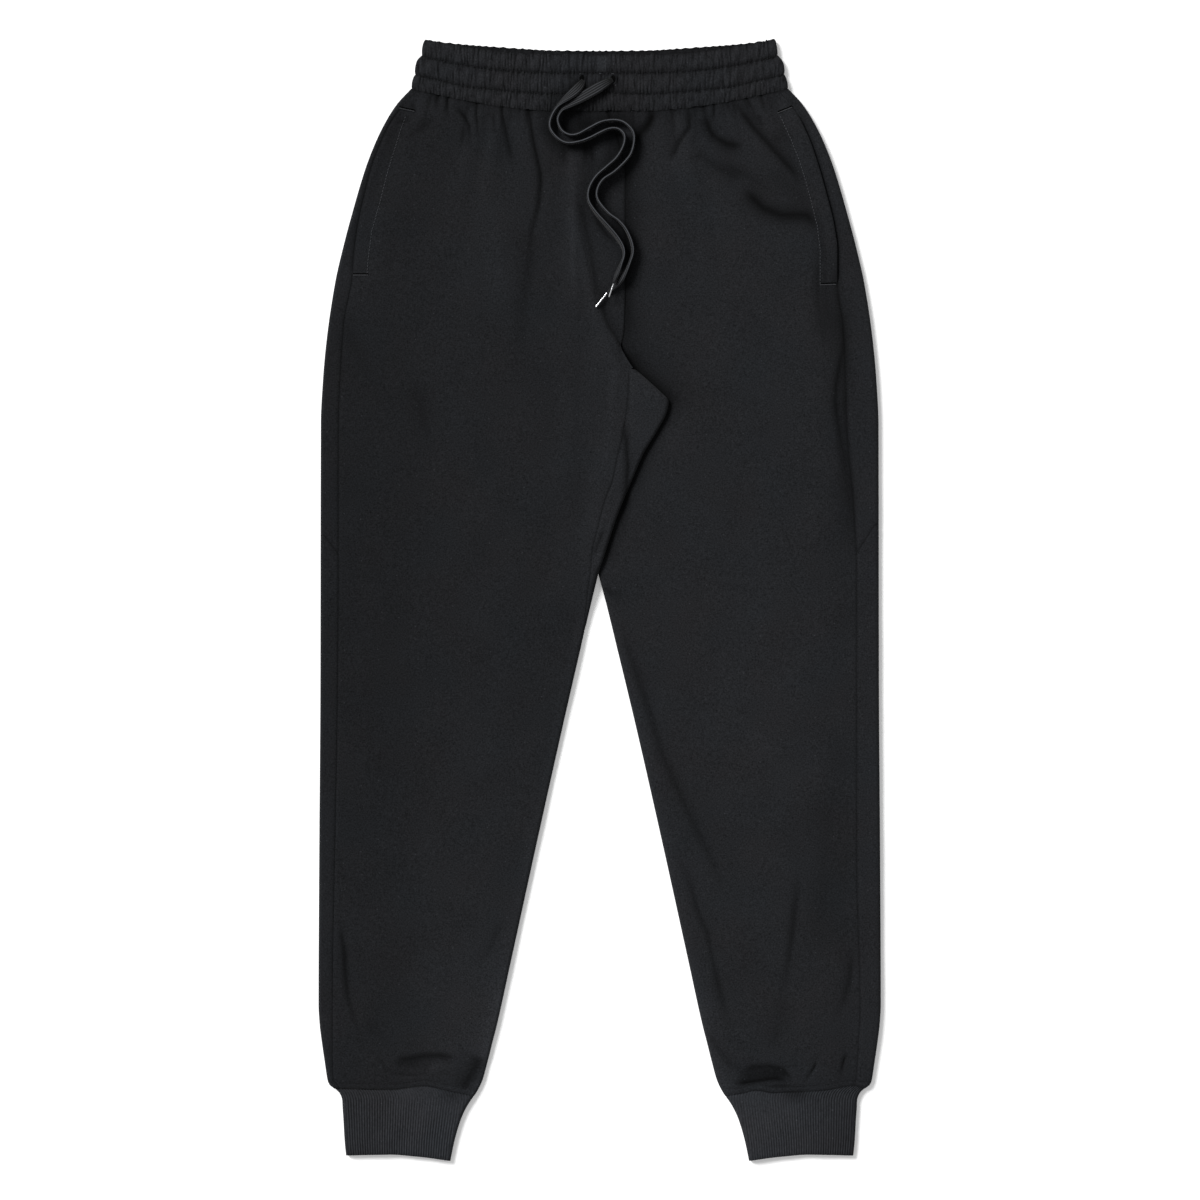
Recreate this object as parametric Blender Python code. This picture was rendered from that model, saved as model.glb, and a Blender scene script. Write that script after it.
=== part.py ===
"""Jogger sweatpants in brushed fleece, laid flat on a surface with the front up.

X runs across the garment, to the right as seen from above, Y runs from the cuffs to the waistband, and Z is
up. The surface is z = 0 and the origin is the middle of the flat outline. "left" and "right" name the sides
as seen from above, so -X and +X. The tables are in millimetres: "down" is the distance below the tips of the
waistband, "half" is the distance out from the centre line, and "x" is signed.

Each cloth piece is a wall: a grid of points on the middle of the cloth, moved out along its normals by half
the thickness on each side. The layers lie on each other, so a leg is a flattened tube: the back panel is its
lower layer and comes round the side fold onto the front as a strip, where it meets the front panel.
"""

import math

import bmesh
import bpy
import numpy as np

MM = 0.001

# Driving dimensions, in millimetres.
LENGTH = 1030.0
FLEECE = 2.0
BAND = 2.6
RIB_KNIT = 2.6
POCKET_CLOTH = 1.2
SEAM_GAP = 0.3
LAYER_AIR = 0.4
RING_AIR = 1.0
FULLNESS = 1.2
BAND_PUFF = 1.3
GATHERS = 56
RIBS = 54
RIB_HEIGHT = 0.5
WRAP_UNDER = 12.0
HIDDEN_EDGE = 2.6
TURN_IN = 10.0
EDGE_PLUMP, EDGE_PLUMP_WIDTH = 0.7, 14.0
SEAM_VALLEY, SEAM_VALLEY_WIDTH = 0.9, 7.0
BAG_TOP = 1.7
CORD_WIDTH = 9.0
CORD_THICK = 2.3
TIP_WIDTH = 2.2
SHARP_ANGLE = math.radians(50)

LOWER = FLEECE / 2
UPPER = FLEECE + LAYER_AIR + FLEECE / 2
STACK = FLEECE + LAYER_AIR
SIGN = {"left": -1, "right": 1}
FRONT_COLUMNS = 17
LIP_COLUMNS = 6
EDGE_COLUMNS = 5
CROTCH_FOLD_COLUMNS = 12
BACK_COLUMNS = (3, 5, 3)  # on the strip, round the side fold and underneath


def table(columns, *rows):
    """A table of numbers as named columns."""
    return dict(zip(columns.split(), np.array(rows, float).T))


# The side fold, from the waistband seam to the ankle.
SIDE_EDGE = table(
    "down half",
    (47, 172), (61, 185), (79, 197), (97, 206), (116, 213.5), (134, 219), (152, 224.5), (189, 234.5),
    (226, 243), (281, 251), (318, 254), (354, 255.7), (593, 255.7), (740, 256.6), (887, 257.5),
    (905, 256.6), (923, 254.7), (942, 252), (956, 249.2), (960, 247.4), (964, 242), (968, 238), (974, 236),
)
# The inner leg edge, from the crotch to the ankle.
INNER_EDGE = table(
    "down half",
    (491, 0.5), (501, 2.6), (520, 7.1), (556, 16.1), (630, 33.5), (740, 58), (850, 82), (905, 94.1),
    (923, 98.7), (942, 103.5), (956, 107.4), (964, 111), (971, 115.2), (974, 117.5),
)
# Where the strip of the back panel meets the front panel, as a distance from the centre line.
SIDE_SEAM = table(
    "down left right",
    (47, 166, 163), (67, 184.5, 179.5), (82, 194, 187.5), (97, 201, 194), (118, 209, 201), (141, 215, 207.5),
    (173, 222, 215.3), (195, 225, 218), (221, 227.5, 218), (266, 235.5, 223.5), (369, 240.1, 228.1),
    (438, 240.1, 234.3), (491, 240.1, 236), (614, 241, 236), (755, 243.5, 236), (887, 245.5, 239.1),
    (928, 245.5, 237.3), (955, 244.6, 235.5), (961, 240.5, 234), (965, 237, 232.5), (974, 229, 229),
)
# The centre front seam, which runs under the crotch fold at its lower end.
CENTRE_SEAM = table("down x", (67, 6), (94, 17), (126, 23.4), (229, 23.4), (267, 22.5), (284, 19.7), (310, 14))
# The edge of the left leg where it folds over the right one, down to the crotch.
FOLD_EDGE = table(
    "down x",
    (67, -2), (180, -1), (248, 2.3), (262, 6.9), (274, 13.3), (284, 19.7), (303, 31.7), (315, 44.5),
    (326, 56.5), (334, 63.4), (342, 61), (362, 49.1), (381, 37.2), (409, 25.2), (433, 15.1), (457, 6.9),
    (476, 2.3), (491, 0.5),
)
# The left leg's inseam, while it runs on the front.
INSEAM = table(
    "down x",
    (303, 27.4), (336, 25.6), (362, 21.6), (387, 16.1), (408, 11.5), (425, 5), (453, -2.3), (469, -6.2),
    (491, -8.2), (511, -11), (528, -12.8),
)
# The waistband's edges and stitched rows, by the share of its half width, and the half width at each.
BAND_LEVELS = table(
    "share back_top front_top row_1 row_2 seam",
    (0, 12.9, 16.5, 32.1, 49.6, 67), (0.25, 12.4, 16.5, 32.1, 51.4, 67), (0.4, 11, 16.1, 31.2, 50, 65.6),
    (0.55, 9.2, 13.8, 29.4, 47.7, 62.4), (0.7, 7.3, 10.1, 25.7, 45, 58.3), (0.85, 4.6, 5, 20.7, 39, 52.8),
    (1, 0, 0, 14.7, 33.5, 47.3),
)
BAND_HALF = table("down half", (0, 160.2), (14.7, 162.5), (22, 167), (33.5, 169.4), (47.3, 172))
# The seam between leg and cuff, by the distance from the centre line.
ANKLE_SEAM = table(
    "half left right",
    (115, 971, 971), (129, 968.3, 968.8), (145, 964.8, 966), (160, 961.8, 968), (175, 963.5, 967.8),
    (191, 965.5, 966.5), (205, 965.2, 964.5), (220, 964.8, 962.5), (232, 964.8, 963), (242, 966, 966),
)
UNDER_ANKLE = {"outer_half": 240.0, "outer_down": 966.0, "inner_half": 115.0, "inner_down": 971.0}
UNDER_WAIST_DIP = 14.0
CUFF_EDGES = table(
    "down outer inner",
    (960, 238.5, 110), (966, 238.2, 112.2), (971, 236.6, 115.4), (975, 235.9, 118.4), (983, 235.7, 123.2),
    (993, 235, 127.6), (1012, 234, 133.2), (1030, 232.2, 137),
)
CUFF_END = table("half down", (136.8, 1030), (155, 1026), (192, 1024), (232, 1025))
# The knee seam of the back panel: on the strip it climbs from the side seam to the fold.
KNEE = {"seam": 473.0, "left_fold": 457.0, "right_fold": 447.0, "under": 440.0}

# The largest folds of the front, each a ridge or a trough along a bowed line from 1 to 2.
FOLDS = table(
    "x1 down1 x2 down2 bow width rise",
    (-65, 60, -66, 215, 14, 9, -1.9), (-30, 108, -22, 235, 3, 13, 1.6), (-88, 62, -77, 116, 3, 9, -1.0),
    (50, 66, 30, 108, -3, 9, -1.2), (97, 66, 132, 99, -9, 10, -1.6), (118, 54, 180, 126, 2, 9, -1.6),
    (144, 160, 200, 172, -3, 11, -1.2), (104, 84, 70, 200, 6, 16, 0.9), (20, 541, 62, 680, 3, 11, -1.6),
    (62, 680, 112, 770, 3, 11, -1.4), (102, 860, 134, 948, -4, 10, -1.6), (182, 776, 164, 892, -4, 11, -1.2),
    (131, 961, 178, 958, 3, 9, -1.8), (142, 944, 180, 948, 5, 9, 1.2), (-239, 815, -214, 930, -5, 10, -1.4),
    (-133, 945, -108, 955, 0, 10, -1.4), (-184, 952, -150, 949, 4, 9, 1.0),
)
# The waistband's rows of points, from its top edge down to its seam: where each lies between the edges and the
# stitched rows (0 to 3), the drop at which its half width is read, and its share of the puff and the gathers.
BAND_ROWS = table(
    "between drop puff gathered",
    (0, 0, 0.15, 0.5), (0.5, 7, 1, 1), (1, 14.7, 0, 0.5), (1.5, 24, 1, 1), (2, 33.5, 0, 0.5), (2.5, 40, 0.85, 1),
    (3, 47.3, 0, 0.3),
)
# The cuff's rows of points, from its seam down, and the share of the ribs' height that each has.
CUFF_ROWS = table("along ribbed", (0, 0.4), (0.3, 1), (1, 1))
# The pocket bag: how deep it is where it is widest and at its ends, and where it widens and narrows.
POCKET = {"depth": 118.0, "end_depth": 22.0, "widens": (50.0, 190.0), "narrows": (240.0, 338.0)}
POCKET_LEVELS = (76, 105, 145, 190, 240, 275, 303, 320)
# The levels of the panels' rows of points, shared where panels meet along a curved seam.
WAIST_LEVELS = (47.3, 56, 68, 84, 104, 130, 165, 205, 245)
ANKLE_LEVELS = (526, 560, 620, 700, 780, 850, 895, 925, 942, 956, 961, 964.5, 968)
CROTCH_FOLD_LEVELS = (304, 315, 325, 334, 343, 362, 387, 420, 455, 475, 491, 508, 526, 536, 546)
SIDE_SEAM_LEVELS = np.array(WAIST_LEVELS + (284, 343, 387, 491) + ANKLE_LEVELS, float)

# The cord's two ends, each from its buttonhole to its tip: where it is, how far its face is turned up from
# lying flat (0) to standing on edge (90), and how high its lower side is over the cloth.
CORD_ROUTES = {
    "left": table(
        "x down turn over",
        (-13.7, 41, 15, 0.3), (-19, 46, 30, 0.6), (-25.5, 51.8, 55, 0.6), (-38.2, 63, 85, 0.6),
        (-44.5, 74, 90, 0.6), (-45.3, 83.4, 90, 0.6), (-39, 92.2, 90, 0.6), (-30.3, 96.9, 90, 0.6),
        (-19.2, 96.1, 88, 0.6), (-9.7, 92.9, 86, 0.6), (-0.3, 88.1, 88, 0.6), (9.2, 83.9, 90, 0.6),
        (17.2, 84.2, 90, 0.6), (22.7, 89.8, 90, 0.6), (21.8, 99.2, 90, 0.6), (15.5, 110.3, 90, 0.6),
        (6.1, 119, 90, 0.6), (-3.4, 127.7, 90, 0.6), (-9.7, 138.8, 90, 0.6), (-10.1, 149.8, 88, 0.6),
        (-3.4, 161, 80, 0.6), (6.1, 171.9, 72, 0.6), (15.5, 183, 72, 0.6), (21.2, 192.5, 80, 0.6),
        (22.1, 200.4, 86, 0.6), (19.3, 208.3, 80, 0.6), (16.2, 216.2, 60, 1.6), (12.9, 225.2, 20, 4.6),
    ),
    "right": table(
        "x down turn over",
        (12, 38.6, 0, 0.3), (3, 43.5, 10, 0.6), (-7, 49.5, 20, 0.6), (-17.5, 55.6, 30, 0.6),
        (-28, 61.8, 50, 0.6), (-35, 67, 75, 0.6), (-38.4, 75.5, 90, 0.6), (-35, 85, 90, 0.6),
        (-28, 89.5, 90, 0.6), (-20, 88.9, 90, 0.6), (-9.7, 83.4, 90, 0.6), (1.3, 77.9, 90, 0.6),
        (12.4, 76, 90, 0.6), (21.8, 77.9, 90, 0.6), (29.7, 85, 90, 0.6), (31.7, 92.9, 90, 0.6),
        (29.7, 104, 90, 0.6), (25.1, 111.9, 90, 0.6), (14, 122.9, 90, 0.6), (2.9, 130.8, 90, 0.6),
        (-2.3, 140.4, 90, 0.6), (-1.8, 149.8, 90, 0.6), (6.1, 161, 90, 0.6), (15.5, 168.8, 90, 0.6),
        (23.4, 176.7, 90, 0.6), (29, 187.7, 90, 0.6), (30.1, 197.3, 90, 0.6), (26.6, 208.3, 84, 0.6),
        (20.3, 219.4, 60, 0.6), (14, 228, 12, 0.6), (7.5, 233.6, 0, 0.6),
    ),
}
# A cord tip's radius as a share of the full one, along its length: a lip, a crimp and a rounded end.
TIP_PROFILE = table("along radius", (0, 0.86), (0.04, 1), (0.12, 0.9), (0.2, 1), (0.9, 1), (0.97, 0.85), (1, 0.5))
# The metal tips, from the cord's end: where each starts and ends, and how high its axis starts over the cloth.
CORD_TIPS = {
    "left": {"start": (12.6, 226.2), "end": (8.4, 238.6), "over": 8.0, "over_end": 6.0},
    "right": {"start": (6.7, 234.3), "end": (-3.9, 247.5), "over": 2.0, "over_end": 1.8},
}

COLOURS = {
    "fleece": ((0.0145, 0.0152, 0.0162), 0.95, 0.0),
    "rib_knit": ((0.021, 0.022, 0.025), 0.92, 0.0),
    "drawcord": ((0.030, 0.033, 0.038), 0.8, 0.0),
    "metal_tip": ((0.62, 0.63, 0.64), 0.28, 1.0),
}


def through(xs, ys, at):
    """A smooth curve through the points (xs, ys) that never overshoots them, read at the places 'at'."""
    at = np.clip(at, xs[0], xs[-1])
    step = np.diff(xs)
    rise = np.diff(ys) / step
    slope = np.concatenate([rise[:1], np.zeros(len(xs) - 2), rise[-1:]])
    same_way = rise[:-1] * rise[1:] > 0
    total = np.where(same_way, rise[:-1] + rise[1:], 1.0)
    slope[1:-1] = np.where(same_way, 2 * rise[:-1] * rise[1:] / total, 0.0)
    i = np.clip(np.searchsorted(xs, at) - 1, 0, len(step) - 1)
    t = (at - xs[i]) / step[i]
    ahead = t * t * (3 - 2 * t)
    bend_in = t * (1 - t) ** 2 * step[i] * slope[i]
    bend_out = t * t * (1 - t) * step[i] * slope[i + 1]
    return ys[i] + ahead * (ys[i + 1] - ys[i]) + bend_in - bend_out


def read(columns, name, at, key="down"):
    return through(columns[key], columns[name], np.asarray(at, float))


def ease(low, high, at):
    """0 up to low, 1 from high on, and an S curve between."""
    t = np.clip((at - low) / (high - low), 0, 1)
    return t * t * (3 - 2 * t)


def side_seam(side, down):
    """The side seam, straight between the rows that both of its panels have."""
    return np.interp(down, SIDE_SEAM_LEVELS, read(SIDE_SEAM, side, SIDE_SEAM_LEVELS))


def world(x, down, z):
    """Points in metres from x, down and z in millimetres."""
    x, down, z = np.broadcast_arrays(x, down, z)
    return np.stack([x, LENGTH / 2 - down, z], axis=-1) * MM


def fold_relief(x, down):
    """The sum of the folds: each a bell across its bowed line, fading in and out along it."""
    relief = np.zeros(np.broadcast(x, down).shape)
    for x1, down1, x2, down2, bow, width, rise in zip(*FOLDS.values()):
        along = np.array([x2 - x1, down2 - down1])
        length = math.hypot(*along)
        t = ((x - x1) * along[0] + (down - down1) * along[1]) / length**2
        aside = ((x - x1) * along[1] - (down - down1) * along[0]) / length
        aside = aside - 4 * bow * t * (1 - t)
        fade = ease(-0.12, 0.12, t) * (1 - ease(0.55, 1.15, t))
        relief += rise * fade * np.exp(-((aside / width) ** 2))
    return relief


def pocket_reach(down):
    """How far in from the side seam the pocket bag reaches: wide in the middle and round below."""
    full = ease(*POCKET["widens"], down) * (1 - ease(*POCKET["narrows"], down) ** 2)
    return POCKET["depth"] * np.sqrt(np.clip(full, 0, 1)) + POCKET["end_depth"]


def front_height(x, down, side):
    """The height of the middle of the cloth on the front of one leg, where x is signed."""
    half = np.abs(x)
    edge = read(SIDE_EDGE, "half", down)
    plump = EDGE_PLUMP * np.exp(-(((edge - half) / EDGE_PLUMP_WIDTH) ** 2))
    from_seam = x - read(CENTRE_SEAM, "x", down)
    valley = SEAM_VALLEY * np.exp(-((from_seam / SEAM_VALLEY_WIDTH) ** 2)) * (1 - ease(290, 320, down))
    relief = FULLNESS + plump - valley + fold_relief(x, down)
    seam = side_seam(side, down)
    inside_bag = ease(-14, -2, pocket_reach(down) - (seam - half))
    in_height = ease(58, 72, down) * (1 - ease(330, 345, down))
    floor = BAG_TOP * inside_bag * in_height
    relief = floor + np.logaddexp(0, (relief - floor) * 3) / 3
    if side == "right":
        covered = ease(270, 286, down) * (1 - ease(488, 505, down))
        clear = ease(8, 30, x - read(FOLD_EDGE, "x", down))
        return UPPER + relief * (1 - covered * (1 - clear))
    return UPPER + relief + crotch_raise(x, down)


def crotch_raise(x, down):
    """How much the left leg is carried up where it lies on the right one: one layer, then two."""
    reach = ease(236, 300, down) * (1 - ease(495, 535, down))
    return reach * STACK * (ease(-48, -20, x) + ease(-20, 4, x))


def waist_seam(half, up=1.0):
    """The waistband seam: on the front (up 1) it dips to the centre in a curve, underneath (up 0) straight."""
    share = np.clip(half / BAND_HALF["half"][-1], 0, 1)
    on_front = read(BAND_LEVELS, "seam", share, "share")
    under = BAND_LEVELS["seam"][-1] + UNDER_WAIST_DIP * (1 - share)
    return on_front * up + under * (1 - up)


def ankle_seam(side, half, up=1.0):
    """The seam between leg and cuff: uneven on the front, straight underneath, the same at both folds."""
    ends = UNDER_ANKLE
    inward = (ends["outer_half"] - half) / (ends["outer_half"] - ends["inner_half"])
    under = ends["outer_down"] + (ends["inner_down"] - ends["outer_down"]) * np.clip(inward, 0, 1)
    return read(ANKLE_SEAM, side, half, "half") * up + under * (1 - up)


def panel_down(level, half, side, up=1.0):
    """Where a level of the panel's grid lies: straight across in the middle of the leg, along the waistband
    seam at the top and along the ankle seam at the bottom."""
    top, bottom = WAIST_LEVELS[0], ANKLE_LEVELS[-1]
    to_waist = (waist_seam(half, up) - top + SEAM_GAP) * (1 - ease(top, top + 190, level))
    to_ankle = (ankle_seam(side, half, up) - SEAM_GAP - bottom) * ease(bottom - 90, bottom, level)
    return level + to_waist + to_ankle


def round_edge(arc, low, high):
    """Round a folded edge: arc 0 is its outermost point, above 0 lies on the upper layer and below 0 on the
    lower one. Gives the distance in from the outermost point, and the share of the way up."""
    radius = (high - low) / 2
    turn = np.clip(arc / radius, -math.pi / 2, math.pi / 2)
    inward = radius * (1 - np.cos(turn)) + np.maximum(np.abs(arc) - radius * math.pi / 2, 0)
    return inward, (1 + np.sin(turn)) / 2


def arc_of(inward, low, high):
    """The arc, on the upper layer, of a point this far in from the outermost one."""
    radius = (high - low) / 2
    on_curve = radius * np.arccos(np.clip(1 - inward / radius, -1, 1))
    return np.where(inward < radius, on_curve, inward + radius * (math.pi / 2 - 1))


def inner_edge(side, down):
    """The inner leg edge. The right leg's is hidden under the crotch fold, which reaches past it."""
    half = read(INNER_EDGE, "half", down)
    return np.maximum(half, HIDDEN_EDGE) if side == "right" else half


def under_seam(side, down, gap):
    """How far from the centre line the seam under the inner edge lies, with half its gap added or taken."""
    sign = SIGN[side]
    edge = inner_edge(side, down)
    high = front_height(sign * (edge + 4), down, side)
    inward, _ = round_edge(-WRAP_UNDER - gap, LOWER, high)
    return edge + FLEECE / 2 + inward


def front_main(side, level, last):
    """The front panel's columns from the side seam to 'last', which is a function of down."""
    across = np.linspace(0, 1, FRONT_COLUMNS)[None, :]
    half_guess = side_seam(side, level) * (1 - across) + across * inner_edge(side, level)
    down = panel_down(level, half_guess, side)
    seam = SIGN[side] * (side_seam(side, down) - SEAM_GAP / 2)
    x = seam + across * (last(down) - seam)
    return np.stack(np.broadcast_arrays(x, down, front_height(x, down, side)), axis=-1)


def edge_wrap(side, down, t, end):
    """Round the inner edge of the leg, from TURN_IN in on top to the arc 'end'."""
    sign = SIGN[side]
    edge = inner_edge(side, down)
    low, high = LOWER, front_height(sign * (edge + 4), down, side)
    start = arc_of(TURN_IN - FLEECE / 2, low, high)
    inward, up = round_edge(start + (end - start) * t, low, high)
    x = sign * (edge + FLEECE / 2 + inward)
    z = low + (front_height(x, down, side) - low) * up
    return x, z, up


def front_left():
    """From the side seam over the fold's lip to the centre seam; below that to the inseam, which runs down
    the crotch fold; and below the crotch round the inner edge."""
    level = np.array(WAIST_LEVELS + (262, 274, 284) + CROTCH_FOLD_LEVELS + ANKLE_LEVELS[1:], float)[:, None]

    def last(down):
        turn_in = -inner_edge("left", down) - TURN_IN
        on_top = np.where(down < 303, read(FOLD_EDGE, "x", down), read(INSEAM, "x", down)) - 6
        return on_top + (turn_in - on_top) * ease(511, 545, down)

    main = front_main("left", level, last)
    t = np.linspace(0, 1, LIP_COLUMNS + 1)[None, 1:]
    down = panel_down(level, np.full_like(level, 10.0), "left")
    edge = read(FOLD_EDGE, "x", down)
    # Above the crotch: over the lip and down to the centre seam.
    centre = read(CENTRE_SEAM, "x", down) - SEAM_GAP / 2
    room = np.clip((centre - edge) / 9, 0.4, 1)
    steps = np.array([-3.0, -1.4, -0.4, 0.9, 3.0])[None, :] * room
    lip_x = np.concatenate([edge + steps, np.maximum(centre, edge + 1)], axis=1)
    lip_z = front_height(lip_x, down, "left")
    high = front_height(edge - 4, down, "left")
    valley = high + (UPPER + 0.5 - high) * ease(-2.2, 0.8, (lip_x - edge) / room)
    lip_z = lip_z + (valley - lip_z) * ease(215, 250, down)
    # Beside the crotch: to the fold's edge, and then to the inseam on top of it.
    seam = np.where(down < 303, edge - FLEECE / 2, read(INSEAM, "x", down) - SEAM_GAP / 2)
    seam_x = seam - 6 * (1 - t)
    seam_z = front_height(seam_x, down, "left")
    # Below the crotch: round the inner edge.
    round_x, round_z, up = edge_wrap("left", down, t, inseam_arc(down) + SEAM_GAP / 2)
    to_seam, to_round = ease(262, 274, down), ease(511, 545, down)
    x = lip_x + (seam_x - lip_x) * to_seam
    z = lip_z + (seam_z - lip_z) * to_seam
    x = x + (round_x - x) * to_round
    z = z + (round_z - z) * to_round
    down = panel_down(level, np.abs(x), "left", 1 + (up - 1) * to_round)
    return np.concatenate([main, np.stack([x, down, z], axis=-1)], axis=1)


def inseam_arc(down):
    """Where the left inseam lies round the inner edge, below the crotch: it rolls from the top to the
    underside."""
    return 4.0 - (4.0 + WRAP_UNDER) * ease(526, 566, down)


def front_right():
    """From the side seam to the centre seam, and below it, under the crotch fold, round the inner edge."""
    level = np.array(WAIST_LEVELS + (262, 284, 312, 343, 387, 440, 491) + ANKLE_LEVELS, float)[:, None]

    def last(down):
        centre = read(CENTRE_SEAM, "x", down) + SEAM_GAP / 2 + 6
        return centre + (inner_edge("right", down) + TURN_IN - centre) * ease(286, 335, down)

    main = front_main("right", level, last)
    t = np.linspace(0, 1, EDGE_COLUMNS + 1)[None, 1:]
    down = panel_down(level, np.full_like(level, 20.0), "right")
    flat_x = last(down) - 6 * t
    flat_z = front_height(flat_x, down, "right")
    round_x, round_z, up = edge_wrap("right", down, t, SEAM_GAP / 2 - WRAP_UNDER)
    wrapped = ease(312, 338, down)
    x = flat_x + (round_x - flat_x) * wrapped
    z = flat_z + (round_z - flat_z) * wrapped
    down = panel_down(level, np.abs(x), "right", 1 + (up - 1) * wrapped)
    return np.concatenate([main, np.stack([x, down, z], axis=-1)], axis=1)


def back_section(side, down):
    """Half width, height and share of the way up, of a back panel: the strip on the front, the side fold,
    and underneath to its inner end."""
    strip_columns, fold_columns, under_columns = BACK_COLUMNS
    edge = read(SIDE_EDGE, "half", down) - FLEECE / 2
    seam = side_seam(side, down) + SEAM_GAP / 2
    low, high = LOWER, front_height(SIGN[side] * (edge - 3), down, side)
    quarter = (high - low) * math.pi / 4
    seam_arc = arc_of(np.maximum(edge - seam, 0.5), low, high)
    turn_arc = np.minimum(quarter, 0.7 * seam_arc)
    t = np.linspace(0, 1, strip_columns, endpoint=False)[None, :]
    strip = seam_arc + (turn_arc - seam_arc) * t
    t = np.linspace(0, 1, fold_columns)[None, :]
    fold = turn_arc + (-quarter - turn_arc) * t
    inward, up = round_edge(np.concatenate([strip, fold], axis=1), low, high)
    half = edge - inward
    z = low + (front_height(SIGN[side] * half, down, side) - low) * up
    t = np.linspace(0, 1, under_columns + 1)[None, 1:]
    under = half[:, -1:] + (back_inner_end(side, down) - half[:, -1:]) * t
    flat = np.full_like(under, low)
    return tuple(np.concatenate(pair, axis=1) for pair in ((half, under), (z, flat), (up, 0 * flat)))


def back_inner_end(side, down):
    """How far from the centre line a back panel ends: the centre back seam, the crotch, then the inseam."""
    centre = SEAM_GAP / 2
    seam = under_seam(side, down, SEAM_GAP / 2)
    if side == "left":
        crotch = centre + 3.0 * ease(275, 300, down)
        return crotch + (seam - crotch) * ease(452, 472, down)
    return centre + (seam - centre) * ease(290, 312, down)


def knee_down(side, column):
    """Where the knee seam crosses each column of a back panel."""
    strip_columns, fold_columns, _ = BACK_COLUMNS
    climb = np.clip(column / strip_columns, 0, 1)
    last_fold = strip_columns + fold_columns - 1
    beyond = ease(last_fold, last_fold + 2, column)
    fold = KNEE[side + "_fold"]
    return KNEE["seam"] + (fold - KNEE["seam"]) * climb + (KNEE["under"] - fold) * beyond


def back_panel(side, upper):
    """One part of a back panel, above or below the knee seam."""
    if upper:
        level = np.array(WAIST_LEVELS + (284, 312, 343, 387, KNEE["under"]), float)[:, None]
    else:
        level = np.array((KNEE["under"], 456, 474, 491) + ANKLE_LEVELS, float)[:, None]
    column = np.arange(sum(BACK_COLUMNS))[None, :]
    near_knee = 1 - ease(0, 70, np.abs(level - KNEE["under"]))
    gap = SEAM_GAP * (-0.75 if upper else 0.75)
    to_knee = (knee_down(side, column) - KNEE["under"] + gap) * near_knee
    half, z, up = back_section(side, level)
    for _ in range(3):
        down = panel_down(level, half, side, up) + to_knee
        by_column = [back_section(side, down[:, i : i + 1]) for i in range(down.shape[1])]
        half, z, up = (
            np.stack([section[k][:, i] for i, section in enumerate(by_column)], axis=1) for k in range(3)
        )
    return np.stack([SIGN[side] * half, down, z], axis=-1)


def crotch_fold():
    """The left back's inner thigh, folded onto the right leg: the layer on top that ends at the inseam, the
    folded edge, and a hidden layer that runs back under the left front. Below the crotch it is the last of
    the back that comes round the inner edge."""
    down = np.array(CROTCH_FOLD_LEVELS, float)[:, None]
    down[0] += SEAM_GAP
    edge = np.where(down < 491, read(FOLD_EDGE, "x", down), -inner_edge("left", down)) - FLEECE / 2
    settle = ease(475, 491, down)

    def low_at(x):
        return (UPPER + STACK * ease(-20, 4, x)) * (1 - settle) + LOWER * settle

    low, high = low_at(edge - 3), front_height(edge - 3, down, "left")
    seam_arc = arc_of(np.maximum(edge - read(INSEAM, "x", down), 0.3), low, high)
    first = np.where(down < 526, seam_arc, inseam_arc(down) - 1.2) - SEAM_GAP / 2
    tail = 8.5 + (edge + 19 - 8.5) * (1 - ease(452, 470, down))
    last = -(tail + (high - low) / 2 * (math.pi / 2 - 1))
    t = np.linspace(0, 1, CROTCH_FOLD_COLUMNS)[None, :]
    even = first + (last - first) * t
    on_top = np.maximum(first, 0) * (np.clip(0.45 - t, 0, 1) / 0.45) ** 1.7
    under = last * (np.clip(t - 0.45, 0, 1) / 0.55) ** 1.7
    arc = even + (on_top + under - even) * ease(2, 10, first)
    inward, up = round_edge(arc, low, high)
    x = edge - inward
    z = low_at(x) + (front_height(x, down, "left") - low_at(x)) * up
    return np.stack(np.broadcast_arrays(x, down, z), axis=-1)


def pocket_bag(side):
    """A flat bag between the layers, sewn into the side seam."""
    down = np.array(POCKET_LEVELS, float)[:, None]
    seam = side_seam(side, down)
    outer = np.minimum(seam + 3, read(SIDE_EDGE, "half", down) - 8)
    inner = seam - pocket_reach(down) + 16
    half = outer + (inner - outer) * np.linspace(0, 1, 3)[None, :]
    z = FLEECE + SEAM_GAP + POCKET_CLOTH / 2
    return np.stack(np.broadcast_arrays(SIGN[side] * half, down, z), axis=-1)


def wall_mesh(outer, inner, closed=False):
    """The solid between two grids of points, with rims on its open sides. A closed one is a ring across,
    and its inner grid may have fewer rows."""
    columns = outer.shape[1]

    def indices(grid, base):
        index = base + np.arange(grid.shape[0] * columns).reshape(-1, columns)
        return np.concatenate([index, index[:, :1]], axis=1) if closed else index

    def quads(a, b, c, d):
        return np.stack([a, b, c, d], axis=-1).reshape(-1, 4)

    out, into = indices(outer, 0), indices(inner, outer.shape[0] * columns)
    faces = [
        quads(out[:-1, :-1], out[1:, :-1], out[1:, 1:], out[:-1, 1:]),
        quads(into[:-1, :-1], into[:-1, 1:], into[1:, 1:], into[1:, :-1]),
        quads(out[0, :-1], out[0, 1:], into[0, 1:], into[0, :-1]),
        quads(out[-1, 1:], out[-1, :-1], into[-1, :-1], into[-1, 1:]),
    ]
    if not closed:
        faces.append(quads(out[1:, 0], out[:-1, 0], into[:-1, 0], into[1:, 0]))
        faces.append(quads(out[:-1, -1], out[1:, -1], into[1:, -1], into[:-1, -1]))
    points = np.concatenate([outer.reshape(-1, 3), inner.reshape(-1, 3)])
    return points, np.concatenate(faces).tolist()


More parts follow.
